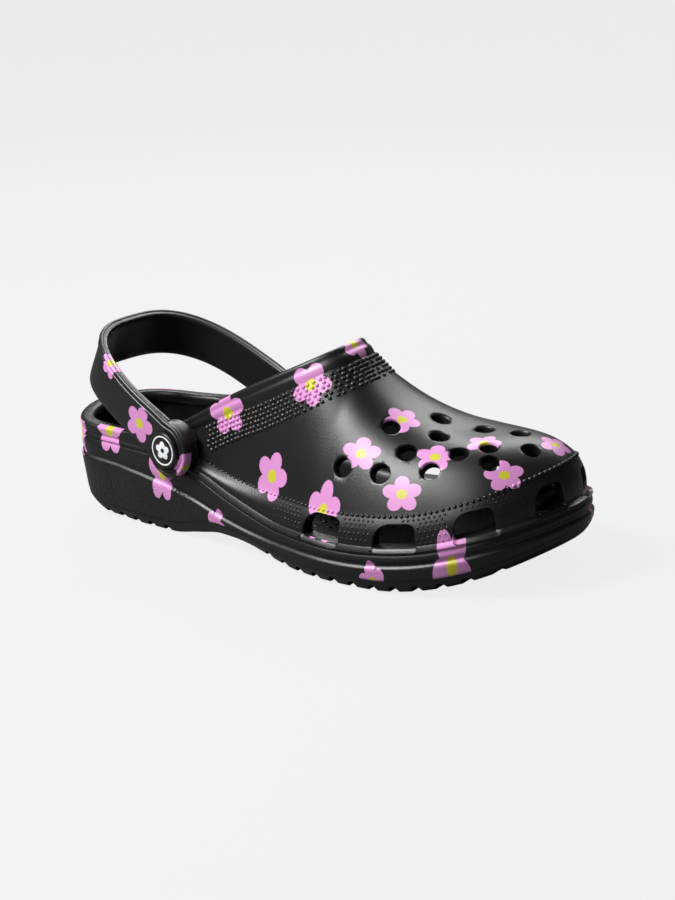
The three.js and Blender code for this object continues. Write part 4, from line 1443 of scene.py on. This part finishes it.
def camera_bright(tree, seen, lit):
    """Shows the first shader to the camera and lights the scene with the second."""
    mix, path = tree.nodes.new("ShaderNodeMixShader"), tree.nodes.new("ShaderNodeLightPath")
    tree.links.new(path.outputs["Is Camera Ray"], mix.inputs["Fac"])
    tree.links.new(lit, mix.inputs[1])
    tree.links.new(seen, mix.inputs[2])
    return mix.outputs["Shader"]


def studio_floor():
    """A pale round floor, wide enough for every view, that throws little light back."""
    shape = bmesh.new()
    bmesh.ops.create_circle(shape, cap_ends=True, segments=96, radius=FLOOR_RADIUS)
    mesh = bpy.data.meshes.new("studio_floor")
    shape.to_mesh(mesh)
    shape.free()
    mesh.transform(Matrix.Translation((0, 0, -FLOOR_DROP)))
    floor = bpy.data.objects.new("studio_floor", mesh)
    scene.collection.objects.link(floor)
    material = bpy.data.materials.new("pale_floor")
    material.use_nodes = True
    tree = material.node_tree
    shader = tree.nodes["Principled BSDF"]
    shader.inputs["Base Color"].default_value = (0.13, 0.13, 0.13, 1)
    shader.inputs["Roughness"].default_value = 0.9
    glow, shade, seen = [tree.nodes.new(f"ShaderNode{kind}") for kind in (
        "Emission", "BsdfDiffuse", "AddShader")]
    glow.inputs["Color"].default_value = (*PALE, 1)
    glow.inputs["Strength"].default_value = FLOOR_GLOW
    shade.inputs["Color"].default_value = (0.04, 0.04, 0.04, 1)
    tree.links.new(glow.outputs[0], seen.inputs[0])
    tree.links.new(shade.outputs[0], seen.inputs[1])
    shown = camera_bright(tree, seen.outputs[0], shader.outputs[0])
    tree.links.new(shown, tree.nodes["Material Output"].inputs["Surface"])
    mesh.materials.append(material)
    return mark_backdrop(floor)


def studio_world():
    """Pale to the camera, and a dim sky, darker overhead, to the foam."""
    world = bpy.data.worlds.new("studio")
    world.use_nodes = True
    tree = world.node_tree
    seen, lit = tree.nodes["Background"], tree.nodes.new("ShaderNodeBackground")
    seen.inputs["Color"].default_value = (*PALE, 1)
    split, where = tree.nodes.new("ShaderNodeSeparateXYZ"), tree.nodes.new("ShaderNodeTexCoord")
    tree.links.new(where.outputs["Generated"], split.inputs[0])
    height = soft_step(tree, split.outputs["Z"], 0.0, 0.8)
    tree.links.new(blend_colour(tree, height, SKY_LOW, SKY_HIGH), lit.inputs["Color"])
    shown = camera_bright(tree, seen.outputs[0], lit.outputs[0])
    tree.links.new(shown, tree.nodes["World Output"].inputs["Surface"])
    return world


studio_floor()
scene.world = studio_world()
scene.view_settings.view_transform = "Standard"
print("pale floor and background")

# %% Soft boxes
def soft_box(name, place, aim, size, power):
    """A rectangular area light, in millimetres and watts."""
    data = bpy.data.lights.new(name, "AREA")
    data.shape, data.size, data.size_y, data.energy = "RECTANGLE", size[0] * MM, size[1] * MM, power
    light = bpy.data.objects.new(name, data)
    light.location = Vector(place) * MM
    light.rotation_euler = (Vector(aim) - Vector(place)).to_track_quat("-Z", "Y").to_euler()
    scene.collection.objects.link(light)


soft_box("key", (-340, -520, 900), (100, 0, 50), (460, 360), 19)
soft_box("side", (150, -900, 900), (150, 0, 40), (420, 260), 4)
soft_box("rear_strip", (-200, 700, 650), (40, 0, 60), (900, 250), 7)
